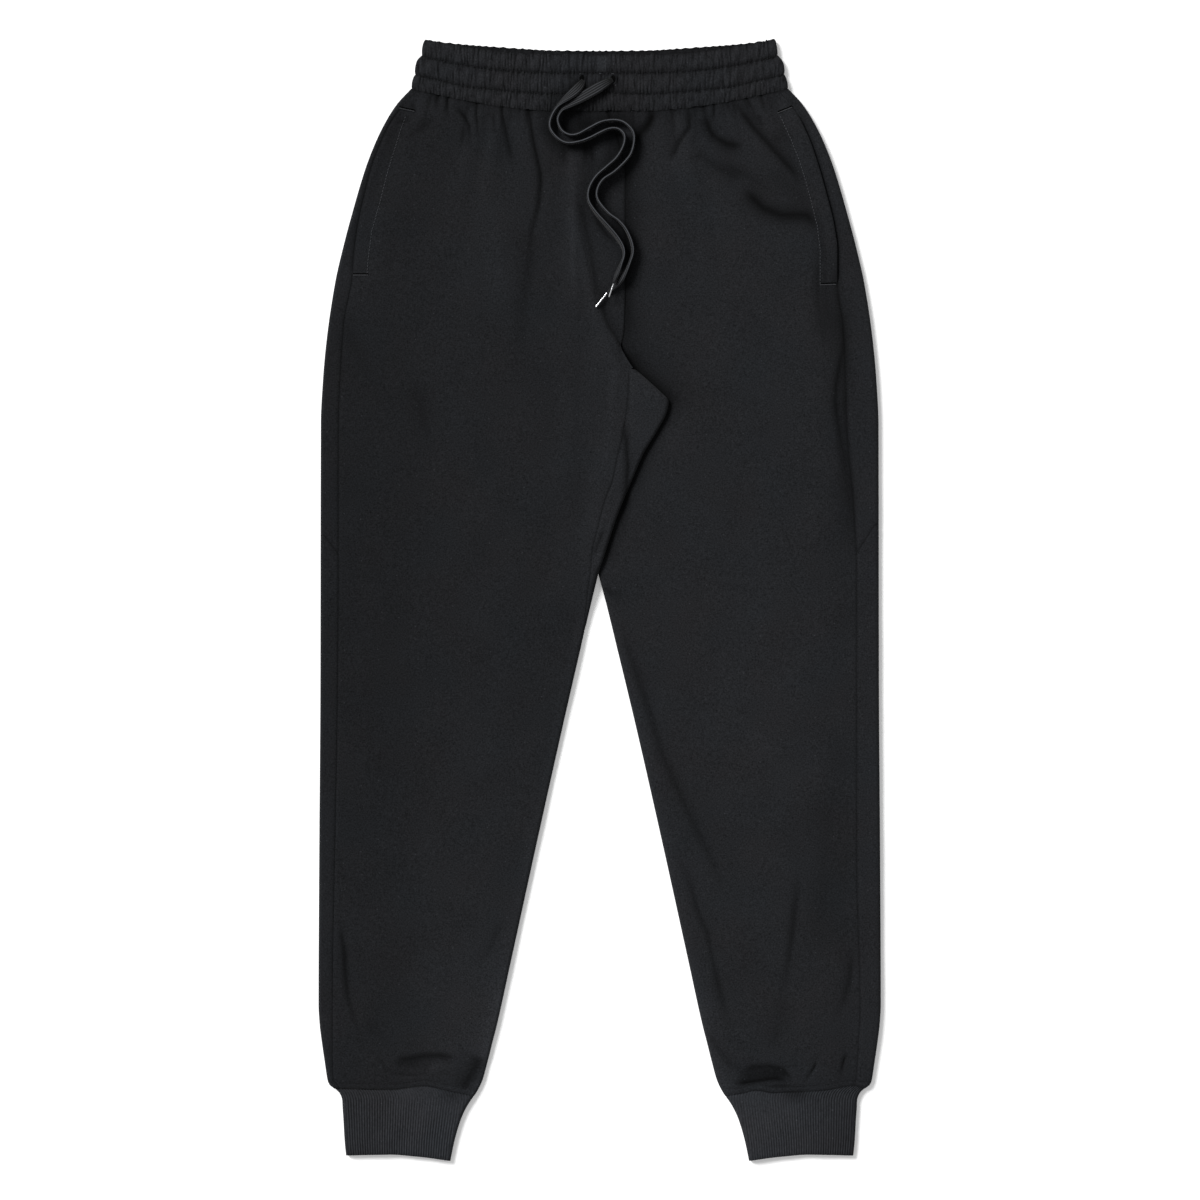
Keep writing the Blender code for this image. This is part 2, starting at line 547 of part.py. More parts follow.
def tube_mesh(rings):
    """A closed solid through rings of points, with flat ends."""
    count, sides = rings.shape[:2]
    index = np.arange(count * sides).reshape(count, sides)
    after = np.roll(index, -1, axis=1)
    faces = np.stack([index[:-1], after[:-1], after[1:], index[1:]], axis=-1).reshape(-1, 4).tolist()
    return rings.reshape(-1, 3), faces + [index[0, ::-1].tolist(), index[-1].tolist()]


def normals_of(grid, closed=False):
    """Unit normals of a grid of points, from the directions along its rows and columns."""
    if closed:
        grid = np.concatenate([grid[:, -1:], grid, grid[:, :1]], axis=1)
    normal = np.cross(np.gradient(grid, axis=0), np.gradient(grid, axis=1))
    if closed:
        normal = normal[:, 1:-1]
    return normal / np.linalg.norm(normal, axis=-1, keepdims=True)


def material(slot):
    found = bpy.data.materials.get(slot)
    if found:
        return found
    colour, roughness, metallic = COLOURS[slot]
    made = bpy.data.materials.new(slot)
    made.use_nodes = True
    shader = made.node_tree.nodes["Principled BSDF"]
    shader.inputs["Base Color"].default_value = (*colour, 1)
    shader.inputs["Roughness"].default_value = roughness
    shader.inputs["Metallic"].default_value = metallic
    made.diffuse_color = (*colour, 1)
    return made


def add_object(name, points, faces, slot):
    """An object from points and faces, its normals made to face out."""
    mesh = bpy.data.meshes.new(name)
    mesh.from_pydata(points.tolist(), [], faces)
    shape = bmesh.new()
    shape.from_mesh(mesh)
    bmesh.ops.recalc_face_normals(shape, faces=shape.faces)
    shape.to_mesh(mesh)
    shape.free()
    mesh.shade_smooth()
    mesh.set_sharp_from_angle(angle=SHARP_ANGLE)
    mesh.materials.append(material(slot))
    bpy.context.scene.collection.objects.link(bpy.data.objects.new(name, mesh))


def cloth(name, grid, raised, thick, slot, closed=False):
    """A cloth piece from the grid of its middle, whose columns run so that the normals point out of the
    garment: half the thickness out and half in. 'raised' is None or lifts the outer points only."""
    middle = world(grid[..., 0], grid[..., 1], grid[..., 2])
    normal = normals_of(middle, closed)
    upper = grid[..., 2] >= grid[..., 2].mean()
    if normal[..., 2][upper].mean() < 0:
        normal = -normal
    out = np.broadcast_to(thick / 2 + (0 if raised is None else raised), middle.shape[:2])
    outer = middle + normal * out[..., None] * MM
    inner = middle - normal * thick / 2 * MM
    outer[..., 2] = np.maximum(outer[..., 2], 0)
    inner[..., 2] = np.maximum(inner[..., 2], 0)
    if closed:
        inner = inner[[0, -1]]
    add_object(name, *wall_mesh(outer, inner, closed), slot)


def ring_share(front_columns, fold_columns, back_columns):
    """Round a flattened tube: the share across from -1 to 1, and the angle from the top. The front runs
    from -1 to 1, then a fold, the underside back to -1, and the other fold."""
    front = np.linspace(-1, 1, front_columns)
    turn = np.linspace(0, math.pi, fold_columns + 2)[1:-1]
    back = np.linspace(1, -1, back_columns)
    share = np.concatenate([front, np.ones(fold_columns), back, -np.ones(fold_columns)])
    angle = np.concatenate([np.zeros(front_columns), turn, np.full(back_columns, math.pi), turn[::-1]])
    return share[None, :], angle[None, :]


def ring_section(share, angle, low_edge, high_edge, thick):
    """x and z round a flattened tube between two edges, whose layers lie RING_AIR apart."""
    radius = (thick + RING_AIR) / 2
    middle, reach = (low_edge + high_edge) / 2, (high_edge - low_edge) / 2 - thick / 2 - radius
    x = middle + share * reach + np.sign(share) * radius * np.sin(angle)
    z = thick / 2 + radius * (1 + np.cos(angle))
    return x, z


def waistband():
    """A tube of three soft channels between stitched rows, gathered along its whole front."""
    share, angle = ring_share(2 * GATHERS + 1, 3, 9)
    up = (1 + np.cos(angle)) / 2
    front = {name: read(BAND_LEVELS, name, np.abs(share), "share") for name in ("front_top", "row_1", "row_2")}
    back_top = read(BAND_LEVELS, "back_top", np.abs(share), "share")
    top = front["front_top"] * up + back_top * (1 - up)
    seam = waist_seam(np.abs(share) * BAND_HALF["half"][-1], up) - SEAM_GAP / 2
    row_1 = front["row_1"] * up + (top * 0.69 + seam * 0.31) * (1 - up)
    row_2 = front["row_2"] * up + (top * 0.31 + seam * 0.69) * (1 - up)
    edges = np.concatenate([top, row_1, row_2, seam])
    above = np.minimum(BAND_ROWS["between"].astype(int), 2)
    part = (BAND_ROWS["between"] - above)[:, None]
    down = edges[above] * (1 - part) + edges[above + 1] * part
    half = read(BAND_HALF, "half", BAND_ROWS["drop"])[:, None]
    x, z = ring_section(share, angle, -half, half, BAND)
    grid = np.stack(np.broadcast_arrays(x, down, z), axis=-1)
    on_front = (angle == 0) * (np.abs(share) < 0.995)
    column = np.arange(share.shape[1])[None, :]
    wave = (column % 2) * (0.6 + 0.35 * np.sin(column * 1.7) * np.sin(column * 0.61))
    return grid, on_front * (BAND_PUFF * BAND_ROWS["puff"][:, None] + wave * BAND_ROWS["gathered"][:, None])


def cuff(side, panel_end):
    """A rib-knit tube, its ribs raised on the front and plain where it rests. Its top follows 'panel_end', the
    last row of the front panel, from the side seam to the inner edge."""
    on_top = slice(np.argmin(np.abs(panel_end[:, 0])), None, -1)
    seam_half, seam_down = np.abs(panel_end[on_top, 0]), panel_end[on_top, 1]
    share, angle = ring_share(2 * RIBS + 1, 3, 7)
    up = (1 + np.cos(angle)) / 2
    t = CUFF_ROWS["along"][:, None]
    down = ANKLE_LEVELS[-1] + (LENGTH - ANKLE_LEVELS[-1]) * t + 0 * share
    for _ in range(3):
        inner, outer = read(CUFF_EDGES, "inner", down), read(CUFF_EDGES, "outer", down)
        half, z = ring_section(share, angle, inner, outer, RIB_KNIT)
        on_panel = (up == 1) & (half > seam_half[0]) & (half < seam_half[-1])
        top = np.where(on_panel, np.interp(half, seam_half, seam_down), ankle_seam(side, half, up) - SEAM_GAP)
        top = top + 2 * SEAM_GAP
        down = top + (read(CUFF_END, "down", half, "half") - top) * t
    grid = np.stack(np.broadcast_arrays(SIGN[side] * half, down, z), axis=-1)
    column = np.arange(share.shape[1])[None, :]
    ribbed = (angle == 0) * (np.abs(share) < 0.995) * (column % 2)
    return grid, ribbed * RIB_HEIGHT * CUFF_ROWS["ribbed"][:, None]


def cord_path(route, count):
    """Evenly spaced points along the smooth curve through a route, with its turn and clearance."""
    key = np.arange(len(route["x"]), dtype=float)
    fine = np.linspace(0, key[-1], 600)
    x, down = (catmull_rom(key, route[name], fine) for name in ("x", "down"))
    length = np.concatenate([[0], np.cumsum(np.hypot(np.diff(x), np.diff(down)))])
    at = np.interp(np.linspace(0, length[-1], count), length, fine)
    x, down, turn, over = (catmull_rom(key, route[name], at) for name in ("x", "down", "turn", "over"))
    return x, down, np.radians(turn), np.maximum(over, 0.3)


def catmull_rom(key, values, at):
    """A smooth curve through evenly keyed values."""
    slope = np.gradient(values)
    i = np.clip(at.astype(int), 0, len(key) - 2)
    t = at - i
    ahead = t * t * (3 - 2 * t)
    curve = values[i] + ahead * (values[i + 1] - values[i])
    return curve + t * (1 - t) ** 2 * slope[i] - t * t * (1 - t) * slope[i + 1]


def top_of_cloth(x, down):
    """The height of the garment's upper face under the cord."""
    on_band = 1 - ease(64, 70, down)
    band = BAND * 2 + RING_AIR + BAND_PUFF + 1
    left_front = x < read(CENTRE_SEAM, "x", down)
    height = np.where(left_front, front_height(x, down, "left"), front_height(x, down, "right"))
    return band * on_band + (height + FLEECE / 2) * (1 - on_band)


def drawcord(side):
    """A flat braid swept along its route: an oval section that turns from lying flat to standing on edge."""
    x, down, turn, over = cord_path(CORD_ROUTES[side], 40)
    centre = np.stack([x, LENGTH / 2 - down], axis=-1)
    tangent = np.gradient(centre, axis=0)
    tangent /= np.linalg.norm(tangent, axis=1, keepdims=True)
    aside = np.stack([-tangent[:, 1], tangent[:, 0]], axis=-1)
    reach = 0.5 * (CORD_WIDTH * np.sin(turn) + CORD_THICK * np.cos(turn))
    spread = 0.5 * (CORD_WIDTH * np.cos(turn) + CORD_THICK * np.sin(turn))
    under = [top_of_cloth(x + aside[:, 0] * spread * k, down - aside[:, 1] * spread * k) for k in (-1, 0, 1)]
    z = np.max(under, axis=0) + over + reach
    z = np.convolve(np.pad(z, 2, mode="edge"), np.ones(5) / 5, mode="valid")
    z = np.maximum(z, np.max(under, axis=0) + over + reach)
    around = np.radians(np.array([0, 40, 90, 140, 180, 220, 270, 320]))
    wide = CORD_WIDTH / 2 * np.sign(np.cos(around)) * np.abs(np.cos(around)) ** 0.6
    tall = CORD_THICK / 2 * np.sign(np.sin(around)) * np.abs(np.sin(around)) ** 0.6
    flat = wide[None, :] * np.cos(turn)[:, None] - tall[None, :] * np.sin(turn)[:, None]
    rise = wide[None, :] * np.sin(turn)[:, None] + tall[None, :] * np.cos(turn)[:, None]
    points = np.empty((len(x), len(around), 3))
    points[..., :2] = centre[:, None, :] + aside[:, None, :] * flat[..., None]
    points[..., 2] = z[:, None] + rise
    return tube_mesh(points * MM)


def cord_tip(side):
    """A slim metal tube crimped on the cord's end, slightly narrower where it is crimped and closed below."""
    tip = CORD_TIPS[side]
    start, end = np.array(tip["start"]), np.array(tip["end"])
    t = TIP_PROFILE["along"]
    radius = TIP_WIDTH / 2 * TIP_PROFILE["radius"]
    place = start + (end - start) * t[:, None]
    ground = [top_of_cloth(*point) for point in (start, end)]
    z = np.interp(t, [0, 1], [ground[0] + tip["over"], ground[1] + tip["over_end"]])
    along = (end - start) / np.linalg.norm(end - start)
    aside = np.array([-along[1], along[0]])
    turn = np.linspace(0, 2 * math.pi, 9)[:-1]
    points = np.empty((len(t), len(turn), 3))
    points[..., 0] = place[:, :1] + aside[0] * radius[:, None] * np.cos(turn)
    points[..., 1] = LENGTH / 2 - (place[:, 1:] + aside[1] * radius[:, None] * np.cos(turn))
    points[..., 2] = z[:, None] + radius[:, None] * np.sin(turn)
    return tube_mesh(points * MM)


def build():
    for obj in list(bpy.data.objects):
        bpy.data.objects.remove(obj, do_unlink=True)
    fronts = {"left": front_left(), "right": front_right()}
    cloth("crotch_fold_left", crotch_fold(), None, FLEECE, "fleece")
    cloth("waistband", *waistband(), BAND, "fleece", closed=True)
    for side in SIGN:
        cloth(f"front_{side}", fronts[side], None, FLEECE, "fleece")
        cloth(f"back_upper_{side}", back_panel(side, upper=True), None, FLEECE, "fleece")
        cloth(f"back_lower_{side}", back_panel(side, upper=False), None, FLEECE, "fleece")
        cloth(f"pocket_bag_{side}", pocket_bag(side), None, POCKET_CLOTH, "fleece")
        cloth(f"cuff_{side}", *cuff(side, fronts[side][-1]), RIB_KNIT, "rib_knit", closed=True)
        add_object(f"drawcord_{side}", *drawcord(side), "drawcord")
        add_object(f"cord_tip_{side}", *cord_tip(side), "metal_tip")


build()
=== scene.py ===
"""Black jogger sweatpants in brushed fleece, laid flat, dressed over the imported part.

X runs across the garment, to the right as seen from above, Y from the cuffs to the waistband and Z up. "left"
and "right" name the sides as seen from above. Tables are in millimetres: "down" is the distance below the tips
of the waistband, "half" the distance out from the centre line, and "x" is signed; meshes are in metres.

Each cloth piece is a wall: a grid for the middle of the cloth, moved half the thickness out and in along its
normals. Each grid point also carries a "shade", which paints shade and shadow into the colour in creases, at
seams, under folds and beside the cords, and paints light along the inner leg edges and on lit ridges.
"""

import math

import bpy
import numpy as np
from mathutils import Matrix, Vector

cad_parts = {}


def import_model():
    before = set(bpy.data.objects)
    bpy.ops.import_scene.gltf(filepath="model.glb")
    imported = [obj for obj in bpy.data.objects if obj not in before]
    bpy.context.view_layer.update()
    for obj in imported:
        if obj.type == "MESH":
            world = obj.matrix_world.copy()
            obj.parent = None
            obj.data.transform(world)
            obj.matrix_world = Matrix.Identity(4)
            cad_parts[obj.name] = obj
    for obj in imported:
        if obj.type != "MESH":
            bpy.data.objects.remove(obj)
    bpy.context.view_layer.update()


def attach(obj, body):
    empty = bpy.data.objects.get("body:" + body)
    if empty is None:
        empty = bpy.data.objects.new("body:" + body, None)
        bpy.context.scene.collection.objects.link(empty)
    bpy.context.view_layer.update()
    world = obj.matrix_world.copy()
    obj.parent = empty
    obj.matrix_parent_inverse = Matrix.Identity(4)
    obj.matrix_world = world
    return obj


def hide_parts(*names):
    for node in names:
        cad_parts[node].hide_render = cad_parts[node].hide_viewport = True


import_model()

MM = 0.001

# Driving dimensions, in millimetres.
LENGTH = 1030.0
FLEECE = 2.0
BAND = 2.6
RIB_KNIT = 2.6
POCKET_CLOTH = 1.2
SEAM_GAP = 0.3
JOIN = 0.03
LAYER_AIR = 0.4
RING_AIR = 1.0
FULLNESS = 2.0
BAND_PUFF = 1.5
CREASE_DEPTH, CREASE_SHADE = 1.5, 1.4
EDGE_PLUMP, EDGE_PLUMP_WIDTH = 0.7, 14.0
BAG_LIFT = 1.7
POCKET_GAPE = {"left": 1.1, "right": 1.8}
GATHER_WIDTH = 5.6
RIB_PITCH, RIB_PITCH_END = 2.5, 2.2
RIB_HEIGHT = 0.36
BAND_JOIN_X = 1.4
WRAP_UNDER = 12.0
TURN_IN = 10.0
TAIL = 6.0
CORD_WIDTH, CORD_THICK = 9.0, 2.3
CORD_RIB, CORD_RIBS = 2.26, 10
TIP_WIDTH = 1.7
ANKLE_STITCHES = 5.5
THREAD, THREAD_SINK = 0.55, 0.15
CAMERA_HEIGHT = 4.0
PICTURE_WIDTH = 1.1016
CAMERA_PLACE = (0.0003, -0.0009)
FLOOR_HALF, FLOOR_UNDER = 3.0, -0.0003
SUN_STRENGTH, SUN_ANGLE, SUN_FROM = 4.35, math.radians(28), (-3.7, 3.1, 3.8)
SKY_STRENGTH = 0.42

LOWER = FLEECE / 2
UPPER = FLEECE + LAYER_AIR + FLEECE / 2
STACK = FLEECE + LAYER_AIR
WAIST_DOWN, ANKLE_DOWN = 47.3, 968.0
BAND_TOP = 2 * BAND + RING_AIR + 0.6 * BAND_PUFF
# Where the left front stops ending at the centre seam and ends at the inseam, and where the crotch is.
FLAP_DOWN, CROTCH_DOWN = 303.0, 492.0
SIGN = {"left": -1, "right": 1}
SHARP_ANGLE = math.radians(50)


def table(columns, *rows):
    """A table of numbers as named columns."""
    return dict(zip(columns.split(), np.array(rows, float).T))


# The side fold, from the waistband seam to the ankle.
SIDE_EDGE = table(
    "down half",
    (47, 173.3), (61, 186.2), (79, 197.6), (97, 206.3), (116, 213.8), (134, 219.6), (152, 224.8), (189, 234.8),
    (226, 243.2), (281, 251.2), (318, 254.4), (354, 256.1), (593, 256.5), (740, 257.5), (887, 258.2),
    (905, 257.2), (923, 255), (942, 252.2), (953, 250.6), (958, 249.6), (961, 247.9), (963, 245.3),
    (965, 242.3), (968, 239.3), (974, 236.8),
)
# The inner leg edge, from the crotch to the ankle.
INNER_EDGE = table(
    "down left right",
    (492, 1.3, -1.2), (501, 3.5, 1.2), (520, 8.1, 6.2), (556, 16.5, 15), (630, 33.5, 32.8), (740, 58, 57.8),
    (850, 82, 82), (905, 94.1, 94.1), (923, 98.7, 98.7), (942, 103.5, 103.5), (956, 107.4, 107.4),
    (964, 111, 111), (971, 115.2, 115.2), (974, 117.5, 117.5),
)
# Where the strip of the back panel meets the front panel, as a distance from the centre line.
SIDE_SEAM = table(
    "down left right",
    (47, 166, 163), (67, 184.5, 179.5), (82, 194, 187.5), (97, 201, 194), (118, 209, 201), (141, 215, 207.5),
    (173, 222, 215.3), (195, 225, 218), (221, 227.5, 218), (266, 235.5, 223.5), (369, 240.1, 228.1),
    (438, 240.1, 234.3), (491, 240.1, 236), (614, 241, 236), (755, 243.5, 236), (887, 245.5, 239.1),
    (928, 245.5, 237.3), (955, 244.6, 235.5), (961, 240.5, 234), (965, 237, 232.5), (974, 229, 229),
)
# The centre front seam, which runs under the crotch fold at its lower end.
CENTRE_SEAM = table("down x", (67, 6), (94, 17), (126, 23.4), (229, 23.4), (267, 22.5), (284, 19.7), (310, 14))
# The edge of the left leg where it folds over the right one, down to the crotch.
FOLD_EDGE = table(
    "down x",
    (67, -2), (180, -1), (248, 2.3), (262, 6.9), (274, 13.3), (284, 19.7), (303, 31.7), (315, 44.5),
    (326, 56.5), (334, 63.4), (342, 62), (362, 51.8), (381, 40.4), (409, 28.4), (433, 18.3), (457, 10),
    (476, 4), (484, 1.2), (492, -1.3),
)
# The left leg's inseam, while it runs on the front.
INSEAM = table(
    "down x",
    (303, 27.4), (336, 25.6), (362, 21.6), (387, 16.1), (408, 11.5), (425, 5), (453, -2.3), (469, -6.2),
    (491, -8.2), (511, -11), (528, -12.8),
)
# The waistband's edges and stitched rows, by the share of its half width, and the half width at each.
BAND_LEVELS = table(
    "share back_top front_top row_1 row_2 seam",
    (0, 12.9, 16.5, 32.1, 49.6, 67), (0.25, 12.4, 16.5, 32.1, 51.4, 67), (0.4, 11, 16.1, 31.2, 50, 65.6),
    (0.55, 9.2, 13.8, 29.4, 47.7, 62.4), (0.7, 7.3, 10.1, 25.7, 45, 58.3), (0.85, 4.6, 5, 20.7, 39, 52.8),
    (1, 0, 0, 14.7, 33.5, 47.3),
)
BAND_HALF = table("down half", (0, 160.2), (14.7, 162.5), (22, 167), (33.5, 169.4), (47.3, 172))
# The seam between leg and cuff, by the distance from the centre line.
ANKLE_SEAM = table(
    "half left right",
    (115, 971, 971), (129, 968.3, 968.8), (145, 964.8, 966), (160, 961.8, 968), (175, 963.5, 967.8),
    (191, 965.3, 967), (205, 965.1, 966), (220, 964.7, 963.4), (232, 964.4, 961.8), (244, 963.6, 963.6),
)
UNDER_ANKLE = {"outer_half": 244.0, "outer_down": 963.6, "inner_half": 115.0, "inner_down": 971.0}
UNDER_WAIST_DIP = 14.0
CUFF_EDGES = table(
    "down outer inner",
    (960, 248, 110), (963, 245, 111), (965, 242, 111.8), (968, 239.1, 113.4), (971, 237.6, 115.4),
    (975, 236.5, 118.4), (983, 236.1, 123.2), (993, 235.4, 127.6), (1012, 234.3, 133.2), (1030, 232.5, 137),
)
# Each cuff's painted shadow at its top: where across it lies and how dark it is; then how much darker the cuff
# is towards its outer fold.
CUFF_SHADE = {"left": (134, 0.32, 0.15), "right": (178, 0.45, 0.23)}
CUFF_END = table("half down", (136.8, 1030.9), (155, 1028.2), (168, 1026.8), (192, 1025), (232, 1025.8))
# How the front's rows of points are spread: the share of them above each level.
ROW_SPREAD = table("share level", (0, 47.3), (0.17, 130), (0.26, 230), (0.6, 530), (0.87, 900), (1, 968))
# The knee seam of the back panel: on the strip it climbs from the side seam to the fold.
KNEE = {"seam": 473.0, "left_fold": 457.0, "right_fold": 447.0, "under": 440.0}

# The creases of the front: how far each rises or sinks, its widths on the side of smaller and of larger x (or
# below and above a level one), how much painted shade darkens it (a negative amount is painted light), where
# it fades, and its line as (x, down) points.
CREASES = [
    (-1.4, 2, 2.5, 0.50, "end", (-149, 51), (-148, 61)),
    (-1.2, 1.6, 2, 0.45, "end", (-140, 56), (-139, 78)),
    (-1.8, 2, 3, 0.70, "both", (-132, 64), (-124, 73), (-120, 81), (-119, 92)),
    (-1.2, 1.6, 2, 0.50, "end", (-113.5, 60), (-112, 84), (-111, 98)),
    (-1.2, 2, 3, 0.35, "both", (-125, 80), (-127, 104)),
    (-1.4, 2, 3, 0.55, "end", (-90, 66), (-84.7, 95), (-80, 118)),
    (-1.0, 5, 5, 0.30, "both", (-149, 71), (-158, 79), (-170, 87), (-181, 100)),
    (-0.8, 3, 4, 0.30, "both", (-189, 78), (-176, 76), (-167, 68)),
    (-2.0, 2.5, 4, 0.60, "end", (-66, 64), (-60, 98), (-54.6, 122), (-53.8, 134), (-56, 156), (-62, 178),
     (-66, 225)),
    (-1.2, 9, 12, 0.22, "both", (-59, 170), (-67, 231), (-74, 310)),
    (1.2, 9, 8, -0.20, "long", (-25, 95), (-24, 130), (-24, 180), (-21, 260)),
    (0.6, 24, 24, -0.13, "long", (-104, 110), (-98, 180), (-90, 260)),
    (-1.0, 3, 3, 0.40, "both", (-16, 88), (-13, 104), (-12, 124)),
    (0.8, 7, 7, -0.12, "both", (-7, 240), (4, 277), (15, 303), (10, 360), (0, 440)),
    (-1.0, 10, 12, 0.15, "both", (-244, 238), (-227, 282), (-200, 328)),
    (-1.0, 12, 12, 0.16, "both", (-170, 312), (-160, 351), (-148, 400)),
    (-1.8, 4, 3, 0.80, "long", (49, 66), (47, 74), (43, 81), (34, 93), (25, 103)),
    (-1.4, 3, 2.5, 0.50, "long", (82, 62), (83, 82), (72, 98), (64, 116)),
    (-2.0, 8, 5, 0.70, "long", (96, 70), (101, 84), (106, 91), (117, 97), (134, 100)),
    (1.0, 6, 6, -0.12, "both", (62, 108), (76, 125), (84, 148)),
    (-0.9, 8, 8, 0.30, "long", (88, 104), (108, 119), (132, 131)),
    (-1.2, 1.6, 2, 0.55, "end", (105.7, 57), (104, 80)),
    (-1.5, 4, 7, 0.60, "long", (122, 57), (138.5, 79.5), (151, 93.5), (166.6, 110.7), (179, 124.8),
     (184, 138)),
    (-1.2, 1.6, 2, 0.45, "end", (133.8, 53), (141, 66), (145, 82)),
    (-1.0, 1.6, 2, 0.45, "end", (148, 52), (153, 72)),
    (-1.7, 9, 8, 0.72, "long", (130, 137), (150, 156), (166.5, 162.5), (190, 163), (205, 178)),
    (-0.6, 16, 16, 0.18, "long", (154, 122), (174, 138), (196, 156)),
    (-1.6, 10, 5, 0.36, "long", (212, 190), (220, 245), (226, 290), (226, 330), (229, 380), (233, 430),
     (236, 490)),
    (-0.4, 7, 4, 0.20, "long", (202, 165), (206, 210), (207, 250), (206, 290)),
    (-0.4, 2, 15, 0.50, "long", (22.5, 92), (24.5, 120), (24.5, 200), (24.5, 262), (20, 300)),
    (-1.0, 2, 7, 0.22, "long", (-21, 146), (-14, 166), (-7, 200), (-2, 232), (5, 262)),
    (0.8, 8, 3, -0.16, "long", (-27, 150), (-20, 175), (-13, 208), (-7, 240), (0, 272)),
    (-1.0, 3, 4, 0.58, "long", (23, 350), (26, 393), (24, 425), (17, 452)),
    (-0.8, 3, 3, 0.32, "both", (6, 448), (-1, 465), (-8, 486)),
    (-1.6, 3, 2.6, 0.60, "both", (223.5, 257), (225, 277), (220.8, 296), (217, 318), (216, 332), (219, 355),
     (223.5, 383), (227, 415), (230, 442)),
    (0.2, 2, 2.5, -0.40, "both", (225, 290), (227.5, 330), (229.5, 380), (231, 420)),
    (-0.3, 3, 2, 0.60, "both", (-8, 156), (-3, 166), (2, 174), (8, 182), (14, 187.5), (18, 194.5), (19, 202)),
    (-1.0, 4, 4, 0.42, "both", (92, 57), (96, 68), (99, 79)),
    (-0.5, 4, 4, 0.80, "both", (51, 63), (48.5, 75), (44, 84), (35, 98)),
    (-0.6, 4, 4, 0.35, "both", (-173, 57), (-170, 66), (-166, 76)),
    (-0.6, 3, 3, 0.35, "both", (-151, 50), (-150, 60), (-148, 72)),
    (-0.6, 3, 3, 0.35, "both", (70, 58), (69, 68), (66, 78)),
    (-0.6, 3, 3, 0.35, "both", (116, 52), (118, 62), (121, 72)),
    (-0.4, 6, 6, 0.25, "both", (104, 112), (126, 122), (148, 134), (174, 149)),
    (-0.4, 12, 6, 0.14, "both", (210, 235), (213, 262), (214, 295)),
    (-0.4, 13, 12, 0.20, "both", (225, 246), (226, 268), (224, 294)),
    (-0.4, 5, 1.5, 0.30, "both", (200, 188), (200.5, 215), (200.5, 240), (203, 262), (207, 292)),
    (-0.8, 3, 3, 0.35, "both", (144, 69), (148, 77), (152, 86)),
    (-0.5, 10, 10, 0.18, "both", (160, 80), (175, 95), (188, 112)),
    (-0.8, 3, 4, 0.30, "both", (-121, 74), (-119, 90), (-118, 106)),
    (-0.8, 3, 4, 0.30, "both", (-84, 90), (-81, 108), (-78, 128)),
    (-0.8, 2, 3, 0.30, "both", (-98, 66), (-96, 82), (-95, 96)),
    (-0.6, 5, 5, 0.35, "both", (-34, 97), (-33, 108), (-31, 124)),
    (-0.6, 4, 4, 0.40, "both", (-8, 97), (-6.6, 108), (-5, 126)),
    (-0.8, 2.5, 2.5, 0.30, "both", (1, 503), (12, 510), (25, 522)),
    (-1.8, 2.5, 5, 0.42, "both", (-240, 806), (-234, 837), (-233, 857), (-231, 879), (-226, 896), (-215, 932)),
    (-0.6, 5, 5, 0.12, "both", (-86, 806), (-101, 840), (-126, 864)),
    (-1.8, 7, 2.4, 0.52, "long", (-186, 938), (-172, 936.5), (-159, 934), (-145, 933.8), (-128, 938)),
    (-0.5, 8, 5, 0.14, "long", (-190, 941), (-172, 943), (-150, 944)),
    (1.0, 4, 4, -0.10, "both", (-160, 949), (-142, 945), (-126, 949)),
    (-0.8, 1.6, 1.6, 0.12, "long", (-205, 933), (-195.5, 945), (-187, 951.5), (-172, 952.8), (-152, 951.5)),
    (-1.0, 14, 12, 0.50, "long", (-108, 933), (-115, 950), (-128, 970)),
    (-0.4, 4, 4, 0.22, "long", (-110, 934), (-117, 948), (-127, 966)),
    (-0.8, 8, 8, 0.10, "both", (-216, 900), (-198, 918), (-178, 930)),
    (-1.6, 4, 8, 0.26, "long", (17, 532), (33, 579), (44, 611), (56, 652), (77, 701), (102, 752), (122, 798)),
    (-1.2, 3, 5, 0.25, "both", (70, 748), (83, 774), (90, 799), (100, 823), (109, 869), (120, 922)),
    (-1.2, 5, 5, 0.22, "both", (106, 848), (113, 880), (120, 904), (125, 920)),
    (-1.0, 5, 5, 0.20, "long", (100, 912), (111, 930), (123, 944), (138, 953)),
    (-1.6, 2.6, 4.2, 0.78, "long", (124, 960.5), (136, 958.8), (148, 957), (160, 955.6), (174, 957.6)),
    (-1.5, 6, 2.4, 0.50, "long", (132, 949), (142, 944.7), (156, 943.8), (168.5, 946.4), (174, 952),
     (180, 959)),
    (-0.5, 6, 6, 0.38, "long", (128, 953), (148, 950.5), (164, 950), (176, 955)),
    (-0.4, 1.2, 1.2, 0.50, "both", (152, 962.4), (172, 962), (190, 963)),
    (-0.3, 1.2, 1.2, 0.50, "both", (162, 967.6), (178, 967.4), (198, 965.6)),
    (-0.3, 24, 22, 0.13, "long", (208, 690), (206, 770), (196, 850)),
    (-0.4, 12, 12, 0.16, "long", (172, 880), (166, 905), (158, 934)),
    (-1.4, 4, 5, 0.34, "both", (184, 765), (178, 819), (175, 843), (171, 867), (162, 900)),
    (-1.2, 4, 4, 0.32, "both", (233, 835), (230, 867), (224, 887), (214, 910)),
    (-1.2, 1.8, 1.8, 0.38, "both", (201, 936), (197, 946), (190, 956), (184, 962)),
    (-1.2, 1.8, 1.8, 0.60, "both", (227, 930), (224, 940), (222, 948), (222, 958)),
    (0.5, 2.5, 2.5, -0.08, "both", (135, 660), (166, 654), (199, 649)),
    (0.5, 3, 3, -0.08, "both", (84, 493), (138, 500), (192, 506)),
]

